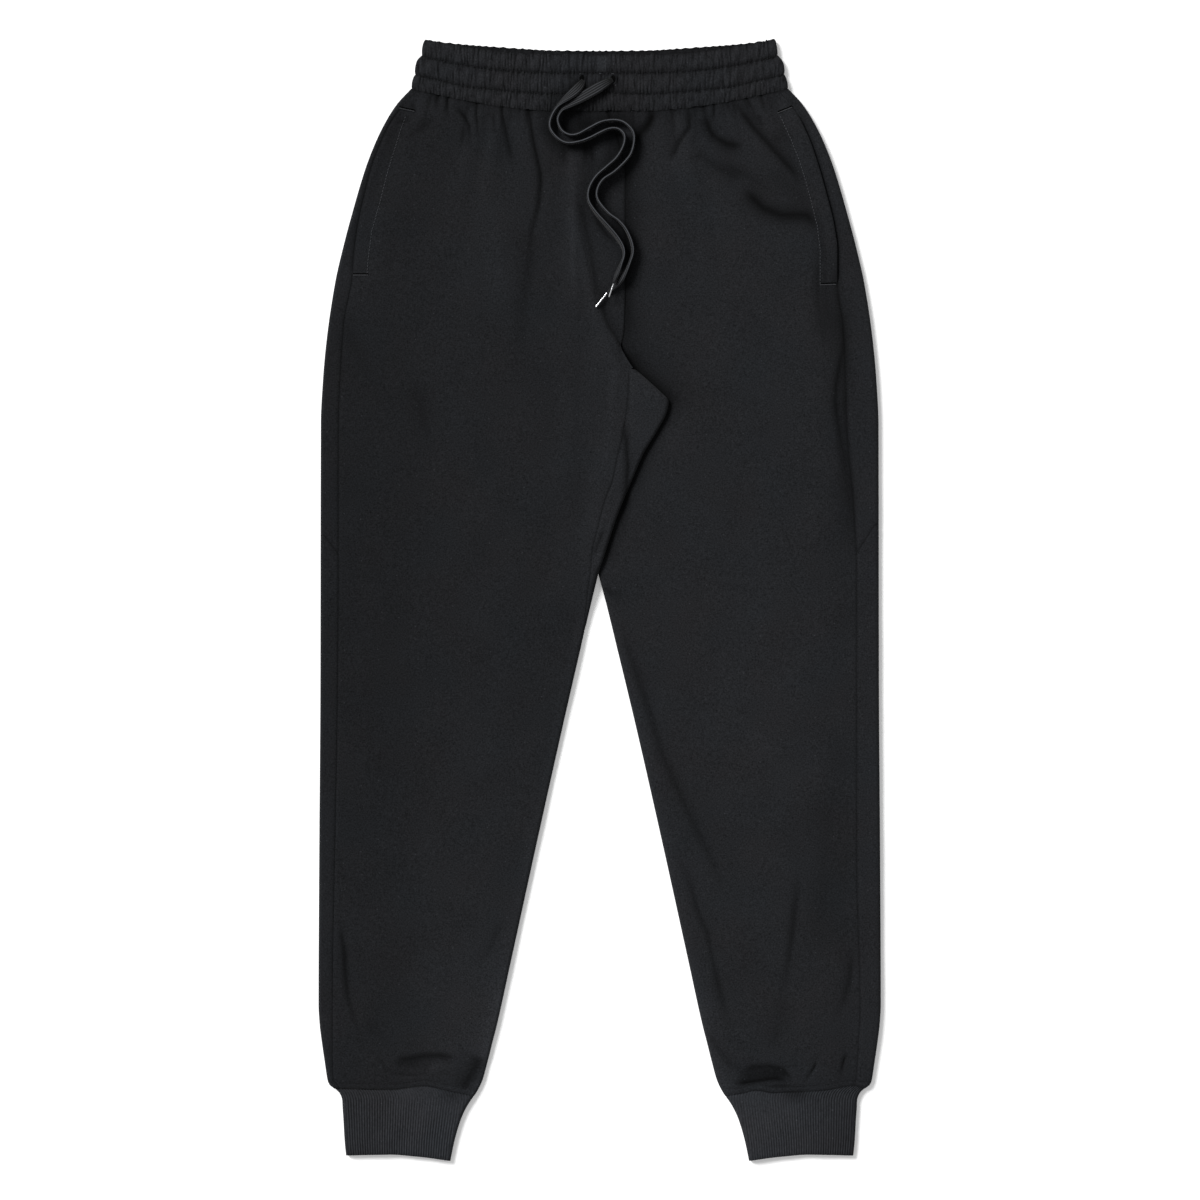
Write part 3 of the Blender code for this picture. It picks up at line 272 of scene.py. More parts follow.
# The cord's two ends, each from its buttonhole to its tip: where it is, how far its face is turned up from
# lying flat (0) to standing on edge (90), and how high its lower side is over the cloth.
CORD_ROUTES = {
    "left": table(
        "x down turn over",
        (-14.6, 39, 0, 0.3), (-18.6, 45, 8, 0.6), (-25.5, 51.8, 30, 0.6), (-38.2, 63, 80, 0.6),
        (-44.5, 74, 90, 0.6), (-45.3, 83.4, 90, 0.6), (-39, 92.2, 90, 0.6), (-30.3, 96.9, 90, 0.6),
        (-19.2, 96.1, 88, 0.6), (-9.7, 92.9, 86, 0.6), (-0.3, 88.1, 88, 0.6), (9.2, 83.9, 90, 0.6),
        (17.2, 84.2, 90, 0.6), (22.7, 89.8, 90, 0.6), (21.8, 99.2, 90, 0.6), (15.5, 110.3, 90, 0.6),
        (6.1, 119, 90, 0.6), (-3.4, 127.7, 90, 0.6), (-9.7, 138.8, 90, 0.6), (-10.1, 149.8, 88, 0.6),
        (-3.6, 161, 82, 0.6), (5.7, 171.9, 76, 0.6), (15.2, 183, 76, 0.6), (21.1, 192.5, 81, 0.6),
        (22.1, 200.4, 86, 0.6), (19.3, 208.3, 80, 0.6), (16.2, 216.2, 60, 1.6), (12.9, 225.2, 20, 4.6),
    ),
    "right": table(
        "x down turn over",
        (12, 38.6, 0, 0.3), (3, 43.5, 10, 0.6), (-7, 49.5, 20, 0.6), (-17.5, 55.6, 30, 0.6),
        (-28, 61.8, 50, 0.6), (-35, 67, 75, 0.6), (-38.4, 75.5, 90, 0.6), (-35, 85, 90, 0.6),
        (-28, 89.5, 90, 0.6), (-20, 88.9, 90, 0.6), (-9.7, 83.4, 90, 0.6), (1.3, 77.9, 90, 0.6),
        (12.4, 76, 90, 0.6), (21.8, 77.9, 90, 0.6), (29.7, 85, 90, 0.6), (31.7, 92.9, 90, 0.6),
        (29.7, 104, 90, 0.6), (25.1, 111.9, 90, 0.6), (14, 122.9, 90, 0.6), (2.9, 130.8, 90, 0.6),
        (-2.3, 140.4, 90, 0.6), (-1.3, 149.6, 90, 0.6), (7.9, 161, 90, 0.6), (17.6, 168.4, 89, 0.6),
        (24.2, 176.4, 87, 0.6), (29, 187.7, 84, 0.6), (30.1, 197.3, 82, 0.6), (26.6, 208.3, 80, 0.6),
        (20.3, 219.4, 50, 0.6), (14, 228, 12, 0.6), (7.5, 233.6, 0, 0.6),
    ),
}
# How wide each cord is, as a share of its full width, by the millimetres from its buttonhole.
CORD_GIRTH = {
    "left": table("start scale", (0, 0.5), (3, 0.7), (9, 0.95), (18, 1), (30, 1)),
    "right": table("start scale", (0, 0.45), (3, 0.65), (10, 0.95), (20, 1.15), (34, 1.15), (48, 1)),
}
CORD_END = table("before scale", (0, 0.24), (5, 0.42), (18, 1))
HOLE_DIP = 2.2
# The metal tips, from the cord's end: where each starts and ends, and how high its axis is over the cloth.
CORD_TIPS = {
    "left": {"start": (12.6, 226.2), "end": (8.4, 238.6), "over": 8.0, "over_end": 6.0},
    "right": {"start": (6.7, 234.3), "end": (-3.9, 247.5), "over": 2.0, "over_end": 1.8},
}

# Sewing: the pockets' topstitching and bartacks, and the buttonholes, as (x, down) points.
POCKET_STITCHES = {
    "left": [(-178, 72), (-182, 83), (-194, 121), (-201.5, 150.5), (-209, 177), (-212.5, 204), (-213.4, 217)],
    "right": [(165.7, 71.6), (175.8, 93.6), (183, 112), (189.6, 133), (195, 153.3), (199.7, 172.6),
              (202.4, 194.6), (202.4, 226.7)],
}
POCKET_BAG = {"top": 76.0, "bottom": 320.0, "reach": 118.0, "least": 22.0}
POCKET_MOUTH = {"left": (67.0, 218.0), "right": (67.0, 227.0)}
BARTACKS = {
    "left_top": ((-184.0, 64.6), (-169.9, 67.6)),
    "left_bottom": ((-226.4, 217.8), (-212.5, 217.8)),
    "right_top": ((163.5, 69.0), (176.7, 63.8)),
    "right_bottom": ((202.4, 226.7), (217.1, 226.3)),
}
# Each kind of stitch: how far apart and how long they are, the thread's thickness, and if they lie across.
STITCHES = {
    "band_row": {"pitch": 3.1, "length": 2.5},
    "topstitch": {"pitch": 2.9, "length": 2.3},
    "rim": {"pitch": 0.62, "length": 1.9, "thread": 0.6, "across": True},
    "knot": {"pitch": 0.9, "length": 1.2, "thread": 0.9},
    # painted shadow lines above the bartacks
    "shadow_line": {"pitch": 0.55, "length": 1.2, "thread": 0.7, "across": True},
    "tack": {"pitch": 0.55, "length": 1.3, "thread": 0.6, "across": True},
}
HOLE_HALF, RIM_HALF = (2.4, 3.6), (2.8, 4.3)
BUTTONHOLES = {"left": (-16.0, 37.5), "right": (12.6, 38.0)}
KNOTS, KNOT_DOWN = (-17.9, 0.6, 11.9), 33.0


def through(xs, ys, at):
    """A smooth curve through the points (xs, ys) that never overshoots them, read at the places 'at'."""
    at = np.clip(at, xs[0], xs[-1])
    step = np.diff(xs)
    rise = np.diff(ys) / step
    slope = np.concatenate([rise[:1], np.zeros(len(xs) - 2), rise[-1:]])
    same_way = rise[:-1] * rise[1:] > 0
    total = np.where(same_way, rise[:-1] + rise[1:], 1.0)
    slope[1:-1] = np.where(same_way, 2 * rise[:-1] * rise[1:] / total, 0.0)
    i = np.clip(np.searchsorted(xs, at) - 1, 0, len(step) - 1)
    t = (at - xs[i]) / step[i]
    ahead = t * t * (3 - 2 * t)
    bend_in = t * (1 - t) ** 2 * step[i] * slope[i]
    bend_out = t * t * (1 - t) * step[i] * slope[i + 1]
    return ys[i] + ahead * (ys[i + 1] - ys[i]) + bend_in - bend_out


def read(columns, name, at, key="down"):
    return through(columns[key], columns[name], np.asarray(at, float))


def ease(low, high, at):
    """0 up to low, 1 from high on, and an S curve between."""
    t = np.clip((at - low) / (high - low), 0, 1)
    return t * t * (3 - 2 * t)


def span(rises, full, falls, gone, at):
    """0 up to 'rises', 1 from 'full' to 'falls' and 0 from 'gone' on."""
    return ease(rises, full, at) * (1 - ease(falls, gone, at))


def mix(first, second, share):
    """The first at share 0, the second at share 1."""
    return first + (second - first) * share


def blend(first, second, share):
    """mix() for each of several values."""
    return [mix(one, other, share) for one, other in zip(first, second)]


def bell(distance, width):
    """1 on the line and falling away to both sides."""
    return np.exp(-((distance / width) ** 2))


def stacked(*parts):
    """Numbers side by side as the last axis, such as points from their x, down and z."""
    return np.stack(np.broadcast_arrays(*parts), axis=-1)


def world(x, down, z):
    """Points in metres from x, down and z in millimetres."""
    return stacked(x, LENGTH / 2 - down, z) * MM


def along_line(path, x, down):
    """For every point: the distance to a line through 'path', the side it is on (1 towards larger x, or above
    a level line) and the share of the line's length at the nearest place."""
    path = np.array(path, float)
    starts, steps = path[:-1], np.diff(path, axis=0)
    lengths = np.hypot(*steps.T)
    before = np.concatenate([[0], np.cumsum(lengths)])
    x, down = np.broadcast_arrays(x, down)
    nearest = np.full(x.shape, np.inf)
    side, share = np.zeros(x.shape), np.zeros(x.shape)
    for start, step, length, run in zip(starts, steps, lengths, before):
        to_x, to_down = x - start[0], down - start[1]
        t = np.clip((to_x * step[0] + to_down * step[1]) / length**2, 0, 1)
        distance = np.hypot(to_x - t * step[0], to_down - t * step[1])
        closer = distance < nearest
        nearest = np.where(closer, distance, nearest)
        side = np.where(closer, np.sign(to_x * step[1] - to_down * step[0]), side)
        share = np.where(closer, (run + t * length) / before[-1], share)
    return nearest, side, share


# The shares of a crease's length where it starts, is full, begins to fall and ends.
FADES = {"end": (-1, -0.5, 0.35, 1), "both": (-0.02, 0.3, 0.35, 1), "long": (-0.02, 0.18, 0.75, 1.02)}


def crease_relief(x, down):
    """The height and the shade that all creases give: each a bell across its line, with its own width on
    either side, that fades towards its ends."""
    relief = np.zeros(np.broadcast(x, down).shape)
    shade = np.ones_like(relief)
    for rise, width_before, width_after, dark, fading, *path in CREASES:
        distance, side, share = along_line(path, x, down)
        fade = span(*FADES[fading], share)
        width = np.where(side < 0, width_before, width_after)
        profile = 0.75 * bell(distance, width) + 0.25 * bell(distance, 0.4 * width)
        in_shade = 0.6 * bell(distance, width + 0.3) + 0.4 * bell(distance, 0.3 * width + 0.5)
        relief += CREASE_DEPTH * rise * fade * profile
        shade *= 1 - dark * fade * in_shade
    return relief, shade**CREASE_SHADE


def soft_unevenness(x, down):
    """Slow random-looking swells of resting cloth: a sum of sine waves in mixed directions."""
    waves = [(0.031, 0.017, 0.4), (-0.022, 0.041, 1.9), (0.092, -0.021, 3.1), (0.032, 0.103, 5.0),
             (0.121, 0.057, 2.2)]
    return sum(np.sin(x * kx + down * ky + phase) for kx, ky, phase in waves) * 0.13


def painted_zones(x, down):
    """Broad zones of painted shade and painted light: the left leg is darker at the top and on the outside and
    lighter inside its ankle, the right one is darker beside its outer seam and lighter down its middle."""
    left = (1 - ease(-30, 40, x)) * ease(40, 90, down)
    outside = (1 - ease(-200, -150, x)) * ease(240, 320, down)
    shade = 1 - left * (0.2 - 0.1 * ease(540, 800, down))
    shade = shade * (1 + 0.09 * left * (ease(-190, -120, x) - outside))
    shade = shade * (1 + 0.25 * (1 - ease(-60, -20, x)) * ease(-190, -90, x) * ease(800, 900, down))
    beside_mouth = (1 - ease(-215, -190, x)) * bell(down - 185, 55)
    shade = shade * (1 + 0.16 * beside_mouth + 0.06 * (1 - ease(-243, -236, x)))
    shade = shade * (1 - 0.12 * bell(x - 224, 16) * (1 - 0.7 * bell(down - 585, 60)))
    return shade * (1 + 0.08 * bell(x - 150, 45) * bell(down - 630, 110))


PUCKERS, GATHERS = 66, 160
PUCKER_SEED, WIDTH_SEED, CUT_SEED, PUFF_SEED = 7, 11, 20, 40
random = np.random.default_rng(PUCKER_SEED)
PUCKER_X = np.linspace(-166, 166, PUCKERS) + random.uniform(-3, 3, PUCKERS)
PUCKER_DEPTH = random.uniform(0.25, 1.0, PUCKERS) ** 1.5
PUCKER_WIDTH = random.uniform(0.9, 1.9, PUCKERS)
PUCKER_LENGTH = random.uniform(5, 12, PUCKERS) + 26 * random.uniform(0, 1, PUCKERS) ** 3
PUCKER_LEAN = PUCKER_X / 600 + random.normal(0, 0.06, PUCKERS)
FOLDS = stacked(PUCKER_X, PUCKER_DEPTH, PUCKER_WIDTH, PUCKER_LENGTH, PUCKER_LEAN)


def puckers(x, below):
    """How the cloth below the waistband is gathered: narrow folds at uneven places, each a bell across that
    leans outward and fades with the distance below the seam. Gives the height and the shade."""
    below = np.maximum(below, 0)
    height, shade = np.zeros_like(x + below), np.ones_like(x + below)
    for place, depth, width, length, lean in FOLDS:
        away = x - place - lean * below
        fade = depth * np.exp(-((below / length) ** 1.5))
        height -= fade * bell(away, width * 1.6)
        shade *= 1 - 0.5 * fade * bell(away, width)
    fan = x / (1 + below / 500)
    slow = np.sin(fan * 0.2 + 1.9 * np.sin(fan * 0.071 + 0.6))
    slow = slow * ease(0, 12, below) * np.exp(-((below / 75) ** 1.5))
    return height + 0.8 * slow, shade * (1 + 0.09 * slow)


def seam_jag(x):
    """The waistband seam is drawn up a little at each fold."""
    return 0.35 - sum(depth * bell(x - place, 2.2) for place, depth in zip(PUCKER_X, PUCKER_DEPTH))


def pocket_reach(down):
    """How far in from the side seam the pocket bag reaches: wide in the middle and round below."""
    width = np.sqrt(np.clip(ease(50, 190, down) * (1 - ease(240, 338, down) ** 2), 0, 1))
    return POCKET_BAG["reach"] * width + POCKET_BAG["least"]


def side_seam(side, down):
    return read(SIDE_SEAM, side, down)


def centre_seam(down):
    return read(CENTRE_SEAM, "x", down)


def fold_edge(down):
    return read(FOLD_EDGE, "x", down)


def inseam_x(down):
    return read(INSEAM, "x", down)


def mouth(side, down):
    """1 beside the pocket opening, 0 beyond its two bartacks."""
    top, bottom = POCKET_MOUTH[side]
    return span(top - 2, top + 14, bottom - 10, bottom + 2, down)


def crotch_raise(x, down):
    """How much the left leg is carried up where it lies on the right one: one layer, then two."""
    return span(236, 300, 495, 535, down) * STACK * (ease(-48, -20, x) + ease(-20, 4, x))


def front_surface(x, down, side):
    """The height of the middle of the cloth on the front of one leg, where x is signed, and its shade."""
    half = np.abs(x)
    centre = x - centre_seam(down)
    outward = half - side_seam(side, down)
    to_band = down - waist_seam(x)
    to_cuff = ankle_seam(side, half) - down
    relief, shade = crease_relief(x, down)
    pucker, pucker_shade = puckers(x, to_band)
    relief = relief + FULLNESS + EDGE_PLUMP * bell(read(SIDE_EDGE, "half", down) - half, EDGE_PLUMP_WIDTH)
    relief = relief - 0.9 * bell(centre, np.where(centre > 0, 16, 7)) * (1 - ease(290, 320, down))
    relief = relief + soft_unevenness(x, down) + pucker
    # The pocket bag carries the cloth, which rests on it as a soft maximum.
    floor = BAG_LIFT * ease(-14, -2, pocket_reach(down) + outward) * span(58, 72, 330, 345, down)
    relief = floor + np.logaddexp(0, (relief - floor) * 3) / 3
    # The side seam's allowance is turned towards the strip, and at the pocket the front's edge stands up.
    on_strip, seam_shows = outward > 0, ease(58, 70, down)
    gape = POCKET_GAPE[side] * mouth(side, down)
    relief = relief + 0.25 * on_strip * (1 - mouth(side, down)) * (1 - ease(4, 12, outward)) * seam_shows
    relief = relief + gape * np.where(on_strip, -0.8 * bell(outward, 9), 0.6 * bell(outward, 11))
    shade = shade * pucker_shade * (1 - 0.5 * on_strip * gape * bell(outward, 3.5) / 1.8)
    # Pinched lines: the side, centre and ankle seams, and the stitching above the ankle seam.
    for away, shows, deep, width, dark, dark_width in (
        (outward, seam_shows, 0.5, 1.3, 0.4, 0.7),
        (centre, 1 - ease(280, 300, down), 0.5, 1.2, 0.65, 1.2),
        (to_cuff, 1, 0.6, 1.5, 0.45, 0.9),
        (to_cuff - ANKLE_STITCHES, 1, 0.4, 1.1, 0.24, 0.8),
    ):
        relief = relief - deep * bell(away, width) * shows
        shade = shade * (1 - dark * bell(away, dark_width) * shows)
    # Painted shadow along the waistband seam and in a band below it.
    shade = shade * (1 - (0.5 + 0.15 * np.sin(x * 1.1 + np.sin(x * 0.3))) * bell(to_band, 1.3))
    shade = shade * (1 - 0.15 * bell(np.maximum(to_band, 0), 10))
    # Painted light along the inner leg edges, then the painted shade beside the cords and the broad painted
    # zones.
    inner = half - inner_edge(side, down)
    inner_edge_light = 0.24 * bell(inner, 9) * ease(500, 540, down) + 0.2 * bell(inner, 17) * ease(830, 900, down)
    shade = shade * (1 + inner_edge_light) * cord_shade(x, down) * painted_zones(x, down)
    if side == "right":
        over = x - fold_edge(down)
        relief = relief * (1 - span(270, 286, 488, 505, down) * (1 - ease(0.5, 7, over)))
        # The left leg's shadow: below its fold, beside the lip and above the flap.
        for dark, width, *where in (
            (0.58, 8.5, 326, 345, 470, 492), (0.28, 34, 225, 262, 318, 350), (0.72, 12, 275, 296, 326, 345),
        ):
            shade = shade * (1 - dark * span(*where, down) * bell(np.maximum(over, 0), width))
        return UPPER + relief, shade
    inseam = x - inseam_x(down)
    shows = span(300, 312, 520, 530, down)
    relief = relief - 0.5 * bell(inseam, 1.1) * shows
    shade = shade * (1 - 0.38 * bell(inseam, 0.9) * shows) * (1 + 0.13 * bell(inseam + 8, 11) * shows)
    return UPPER + relief + crotch_raise(x, down), shade


def front_height(x, down, side):
    return front_surface(x, down, side)[0]


def cord_shade(x, down):
    """The cloth beside the cords is in shade, more so by the buttonholes and the first bend, and the narrow
    gap between the two has only its own deep shadow and a little shade lower down."""
    distances = [along_line(stacked(r["x"], r["down"]), x, down)[0] for r in CORD_ROUTES.values()]
    spread = distances[0] + distances[1]
    low_stretch = bell(down - 177, 15)
    gap = bell(np.maximum(spread - 8.5 - 3 * low_stretch, 0), 2.5)
    between = (0.4 * ease(120, 165, down) + 0.6 * low_stretch - 0.3) * gap
    beside = 0.18 * (1 - ease(175, 198, down)) + 0.48 * span(36, 46, 95, 130, down)
    in_bend = 0.5 * bell(np.hypot(x + 20, down - 41), 7) + 0.5 * bell(np.hypot(x + 17.5, down - 77), 8)
    return (1 - between) * (1 - beside * (1 - gap) * bell(np.minimum(*distances), 10)) * (1 - in_bend)


def waist_seam(x, up=1.0):
    """The waistband seam: on the front (up 1) it dips to the centre in a curve and is jagged by the puckers,
    underneath (up 0) it is straight."""
    share = np.clip(np.abs(x) / BAND_HALF["half"][-1], 0, 1)
    on_front = read(BAND_LEVELS, "seam", share, "share") + 0.8 * seam_jag(x) * (1 - share**8)
    return mix(BAND_LEVELS["seam"][-1] + UNDER_WAIST_DIP * (1 - share), on_front, up)


def ankle_seam(side, half, up=1.0):
    """The seam between leg and cuff: uneven on the front, straight underneath, the same at both folds."""
    ends = UNDER_ANKLE
    inward = (ends["outer_half"] - half) / (ends["outer_half"] - ends["inner_half"])
    under = mix(ends["outer_down"], ends["inner_down"], np.clip(inward, 0, 1))
    return mix(under, read(ANKLE_SEAM, side, half, "half"), up)


def panel_down(level, x, side, up=1.0):
    """Where a level of the panel's grid lies: straight across in the middle of the leg, along the waistband
    seam at the top and along the ankle seam at the bottom."""
    to_waist = (waist_seam(x, up) - WAIST_DOWN + JOIN) * (1 - ease(WAIST_DOWN, WAIST_DOWN + 190, level))
    ankle = ankle_seam(side, np.abs(x), up)
    return level + to_waist + (ankle - JOIN - ANKLE_DOWN) * ease(ANKLE_DOWN - 90, ANKLE_DOWN, level)


def round_edge(arc, low, high):
    """Round a folded edge: arc 0 is its outermost point, above 0 lies on the upper layer and below 0 on the
    lower one. Gives the distance in from the outermost point, and the share of the way up."""
    radius = (high - low) / 2
    turn = np.clip(arc / radius, -math.pi / 2, math.pi / 2)
    inward = radius * (1 - np.cos(turn)) + np.maximum(np.abs(arc) - radius * math.pi / 2, 0)
    return inward, (1 + np.sin(turn)) / 2


def arc_of(inward, low, high):
    """The arc, on the upper layer, of a point this far in from the outermost one."""
    radius = (high - low) / 2
    on_curve = radius * np.arccos(np.clip(1 - inward / radius, -1, 1))
    return np.where(inward < radius, on_curve, inward + radius * (math.pi / 2 - 1))


def inner_edge(side, down):
    """The inner leg edge, as a distance from the centre line. The right leg's is hidden under the crotch fold
    above the crotch, and there lies just past the centre line."""
    return read(INNER_EDGE, side, down)


def below_crotch(down):
    """From 0 above the crotch to 1 where the leg is a tube of its own."""
    return ease(494, 514, down)


def inseam_arc(down):
    """Where the left inseam lies round the inner edge, below the crotch: it rolls from the top to the
    underside."""
    on_top = -inseam_x(down) - inner_edge("left", down) - FLEECE / 2
    on_top = arc_of(np.maximum(on_top, 0.3), LOWER, UPPER + FULLNESS + STACK)
    return mix(on_top, mix(4.0, -WRAP_UNDER, ease(526, 566, down)), ease(514, 530, down))


def edge_wrap(side, down, t, end):
    """Round the inner edge of the leg, from TURN_IN in on top to the arc 'end'."""
    sign = SIGN[side]
    edge = inner_edge(side, down)
    high = front_height(sign * (edge + 4), down, side)
    start = arc_of(TURN_IN - FLEECE / 2, LOWER, high)
    inward, up = round_edge(mix(start, end, t), LOWER, high)
    x = sign * (edge + FLEECE / 2 + inward)
    height, shade = front_surface(x, down, side)
    return x, mix(LOWER, height, up), up, mix(1, shade, up) * mix(0.7, 1, up)


def front_panel(side, rows, columns, tail_columns):
    """The front panel as a grid of (x, down, z) and its shade: level rows from the side seam to the inner end,
    which is the centre seam, then the fold or the inseam, then the arc round the inner leg edge."""
    level = np.interp(np.linspace(0, 1, rows), ROW_SPREAD["share"], ROW_SPREAD["level"])[:, None]
    last, tail = {"left": (last_left, tail_left), "right": (last_right, tail_right)}[side]
    across, down = np.linspace(0, 1, columns)[None, :], level
    for _ in range(3):
        x = mix(SIGN[side] * (side_seam(side, down) - SEAM_GAP / 2), last(down), across)
        down = panel_down(level, x, side)
    height, shade = front_surface(x, down, side)
    tail_grid, tail_shade = tail(level, np.linspace(0, 1, tail_columns + 1)[None, 1:])
    grid = stacked(x, down, height)
    return np.concatenate([grid, tail_grid], axis=1), np.concatenate([shade, tail_shade], axis=1)


def last_left(down):
    on_top = np.where(down < FLAP_DOWN, fold_edge(down), inseam_x(down)) - TAIL
    return mix(on_top, -inner_edge("left", down) - TURN_IN, below_crotch(down))


def tail_left(level, t):
    """The left front's last columns: over the fold's lip and down to the centre seam; beside the crotch, to
    the fold's edge and then to the inseam; below the crotch, round the inner edge."""
    down = panel_down(level, np.full_like(level, 18.0), "left")
    edge = fold_edge(down)
    centre = np.maximum(centre_seam(down) - SEAM_GAP / 2, edge + 1)
    lip_x = mix(last_left(down), centre, t)
    lip_z, lip_shade = front_surface(lip_x, down, "left")
    room = np.clip((centre - edge) / 9, 0.4, 1)
    over, shows = ease(-3.5, 1.5, (lip_x - edge) / room), ease(215, 250, down)
    lip_z = mix(lip_z, mix(front_height(edge - 4, down, "left"), UPPER + 0.5, over), shows)
    lip_shade = lip_shade * (1 - 0.52 * over * shows * np.exp(-np.maximum(lip_x - edge, 0) / 8))
    seam = np.where(down < FLAP_DOWN, edge - FLEECE / 2, inseam_x(down) - SEAM_GAP / 2)
    seam_x = seam - TAIL * (1 - t)
    round_x, round_z, up, round_shade = edge_wrap("left", down, t, inseam_arc(down) + SEAM_GAP / 2)
    to_seam, to_round = ease(278, 288, down), below_crotch(down)
    flat = blend((lip_x, lip_z, lip_shade), (seam_x, *front_surface(seam_x, down, "left")), to_seam)
    x, z, shade = blend(flat, (round_x, round_z, round_shade), to_round)
    return stacked(x, panel_down(level, x, "left", mix(1, up, to_round)), z), shade


def last_right(down):
    centre = centre_seam(down) + SEAM_GAP / 2 + TAIL
    return mix(centre, inner_edge("right", down) + TURN_IN, ease(286, 335, down))


def tail_right(level, t):
    """The right front's last columns: to the centre seam, and under the crotch fold round the inner edge."""
    down = panel_down(level, np.full_like(level, 20.0), "right")
    flat_x = last_right(down) - TAIL * t
    round_x, round_z, up, round_shade = edge_wrap("right", down, t, SEAM_GAP / 2 - WRAP_UNDER)
    wrapped = ease(312, 338, down)
    flat = (flat_x, *front_surface(flat_x, down, "right"))
    x, z, shade = blend(flat, (round_x, round_z, round_shade), wrapped)
    return stacked(x, panel_down(level, x, "right", mix(1, up, wrapped)), z), shade


def under_seam(side, down, gap):
    """How far from the centre line the seam under the inner edge lies, with half its gap added."""
    edge = inner_edge(side, down)
    high = front_height(SIGN[side] * (edge + 4), down, side)
    inward, _ = round_edge(-WRAP_UNDER - gap, LOWER, high)
    return edge + FLEECE / 2 + inward


def back_inner_end(side, down):
    """How far from the centre line a back panel ends: the centre back seam, the crotch, then the inseam."""
    centre, seam = SEAM_GAP / 2, under_seam(side, down, SEAM_GAP / 2)
    if side == "left":
        return mix(centre + 3.0 * ease(275, 300, down), seam, ease(452, 472, down))
    return mix(centre, seam, ease(290, 312, down))


def back_panel(side, upper, rows, *columns):
    """One part of a back panel, above or below the knee seam: a strip on the front, the side fold, and
    underneath to its inner end, each with its number of columns."""
    levels = (WAIST_DOWN, KNEE["under"]) if upper else (KNEE["under"], ANKLE_DOWN)
    level = np.linspace(*levels, rows)[:, None]
    column = np.arange(sum(columns))[None, :]
    last_fold = columns[0] + columns[1] - 1
    fold_down = KNEE[side + "_fold"]
    knee = mix(KNEE["seam"], fold_down, np.clip(column / columns[0], 0, 1))
    knee = knee + (KNEE["under"] - fold_down) * ease(last_fold, last_fold + 2, column)
    to_knee = knee - KNEE["under"] + JOIN * (-1 if upper else 1)
    to_knee = to_knee * (1 - ease(0, 70, np.abs(level - KNEE["under"])))
    half, up = np.full(to_knee.shape, 200.0), np.ones(to_knee.shape)
    for _ in range(3):
        down = panel_down(level, SIGN[side] * half, side, up) + to_knee
        half, up = back_section(side, down, *columns)
    height, shade = front_surface(SIGN[side] * half, down, side)
    shade = shade * (1 - 0.5 * bell(down - knee, 1.3))
    z = mix(LOWER, height, up) - 0.4 * bell(down - knee, 1.5) * up
    return stacked(SIGN[side] * half, down, z), mix(1, shade, up) * mix(0.55, 1, up)


def back_section(side, down, strip_columns, fold_columns, under_columns):
    """Half width and share of the way up of a back panel's columns, each at its own down."""
    edge = read(SIDE_EDGE, "half", down) - FLEECE / 2
    seam = side_seam(side, down) + SEAM_GAP / 2
    high = front_height(SIGN[side] * (edge - 3), down, side)
    quarter = (high - LOWER) * math.pi / 4
    seam_arc = arc_of(np.maximum(edge - seam, 0.5), LOWER, high)
    turn_arc = np.minimum(quarter, 0.7 * seam_arc)
    count = strip_columns + fold_columns
    strip, fold = slice(strip_columns), slice(strip_columns, count)
    on_strip, on_fold = np.linspace(0, 1, strip_columns, endpoint=False), np.linspace(0, 1, fold_columns)
    strip_arc = mix(seam_arc[:, strip], turn_arc[:, strip], on_strip)
    arc = np.concatenate([strip_arc, mix(turn_arc[:, fold], -quarter[:, fold], on_fold)], axis=1)
    inward, up = round_edge(arc, LOWER, high[:, :count])
    half = edge[:, :count] - inward
    end = back_inner_end(side, down[:, count:])
    under = mix(half[:, -1:], end, np.linspace(0, 1, under_columns + 1)[None, 1:])
    return np.concatenate([half, under], axis=1), np.concatenate([up, 0 * end], axis=1)


def crotch_fold(rows, columns):
    """The left back's inner thigh, folded onto the right leg: the layer on top that ends at the inseam, the
    folded edge, and a hidden layer that runs back under the left front. Below the crotch it is the last of
    the back that comes round the inner edge."""
    down = np.linspace(FLAP_DOWN + 1 + SEAM_GAP, 546, rows)[:, None]
    edge = np.where(down < CROTCH_DOWN, fold_edge(down), -inner_edge("left", down)) - FLEECE / 2
    settled = ease(480, 493, down)

    def low_at(x):
        return mix(UPPER + STACK * ease(-20, 4, x), LOWER, settled)

    low, high = low_at(edge - 3), front_height(edge - 3, down, "left")
    seam_arc = arc_of(np.maximum(edge - inseam_x(down), 0.3), low, high)
    first = mix(seam_arc, inseam_arc(down), below_crotch(down)) - SEAM_GAP / 2
    tail = mix(edge + 19, 8.5, ease(452, 470, down))
    last = -(tail + (high - low) / 2 * (math.pi / 2 - 1))
    t = np.linspace(0, 1, columns)[None, :]
    on_top = np.maximum(first, 0) * (np.clip(0.45 - t, 0, 1) / 0.45) ** 1.7
    under = last * (np.clip(t - 0.45, 0, 1) / 0.55) ** 1.7
    arc = mix(mix(first, last, t), on_top + under, ease(2, 10, first))
    inward, up = round_edge(arc, low, high)
    x = edge - inward
    height, shade = front_surface(x, down, "left")
    grid = stacked(x, down, mix(low_at(x), height, up))
    return grid, mix(1, shade, up) * mix(1.14, 1, settled)


def pocket_bag(side):
    """A flat bag between the layers, sewn into the side seam."""
    down = np.linspace(POCKET_BAG["top"], POCKET_BAG["bottom"], 60)[:, None]
    seam = side_seam(side, down)
    outer = np.minimum(seam + 3, read(SIDE_EDGE, "half", down) - 8)
    half = mix(outer, seam - pocket_reach(down) + 16, np.linspace(0, 1, 24)[None, :])
    grid = stacked(SIGN[side] * half, down, FLEECE + SEAM_GAP + POCKET_CLOTH / 2)
    return grid, np.full(grid.shape[:2], 0.8)


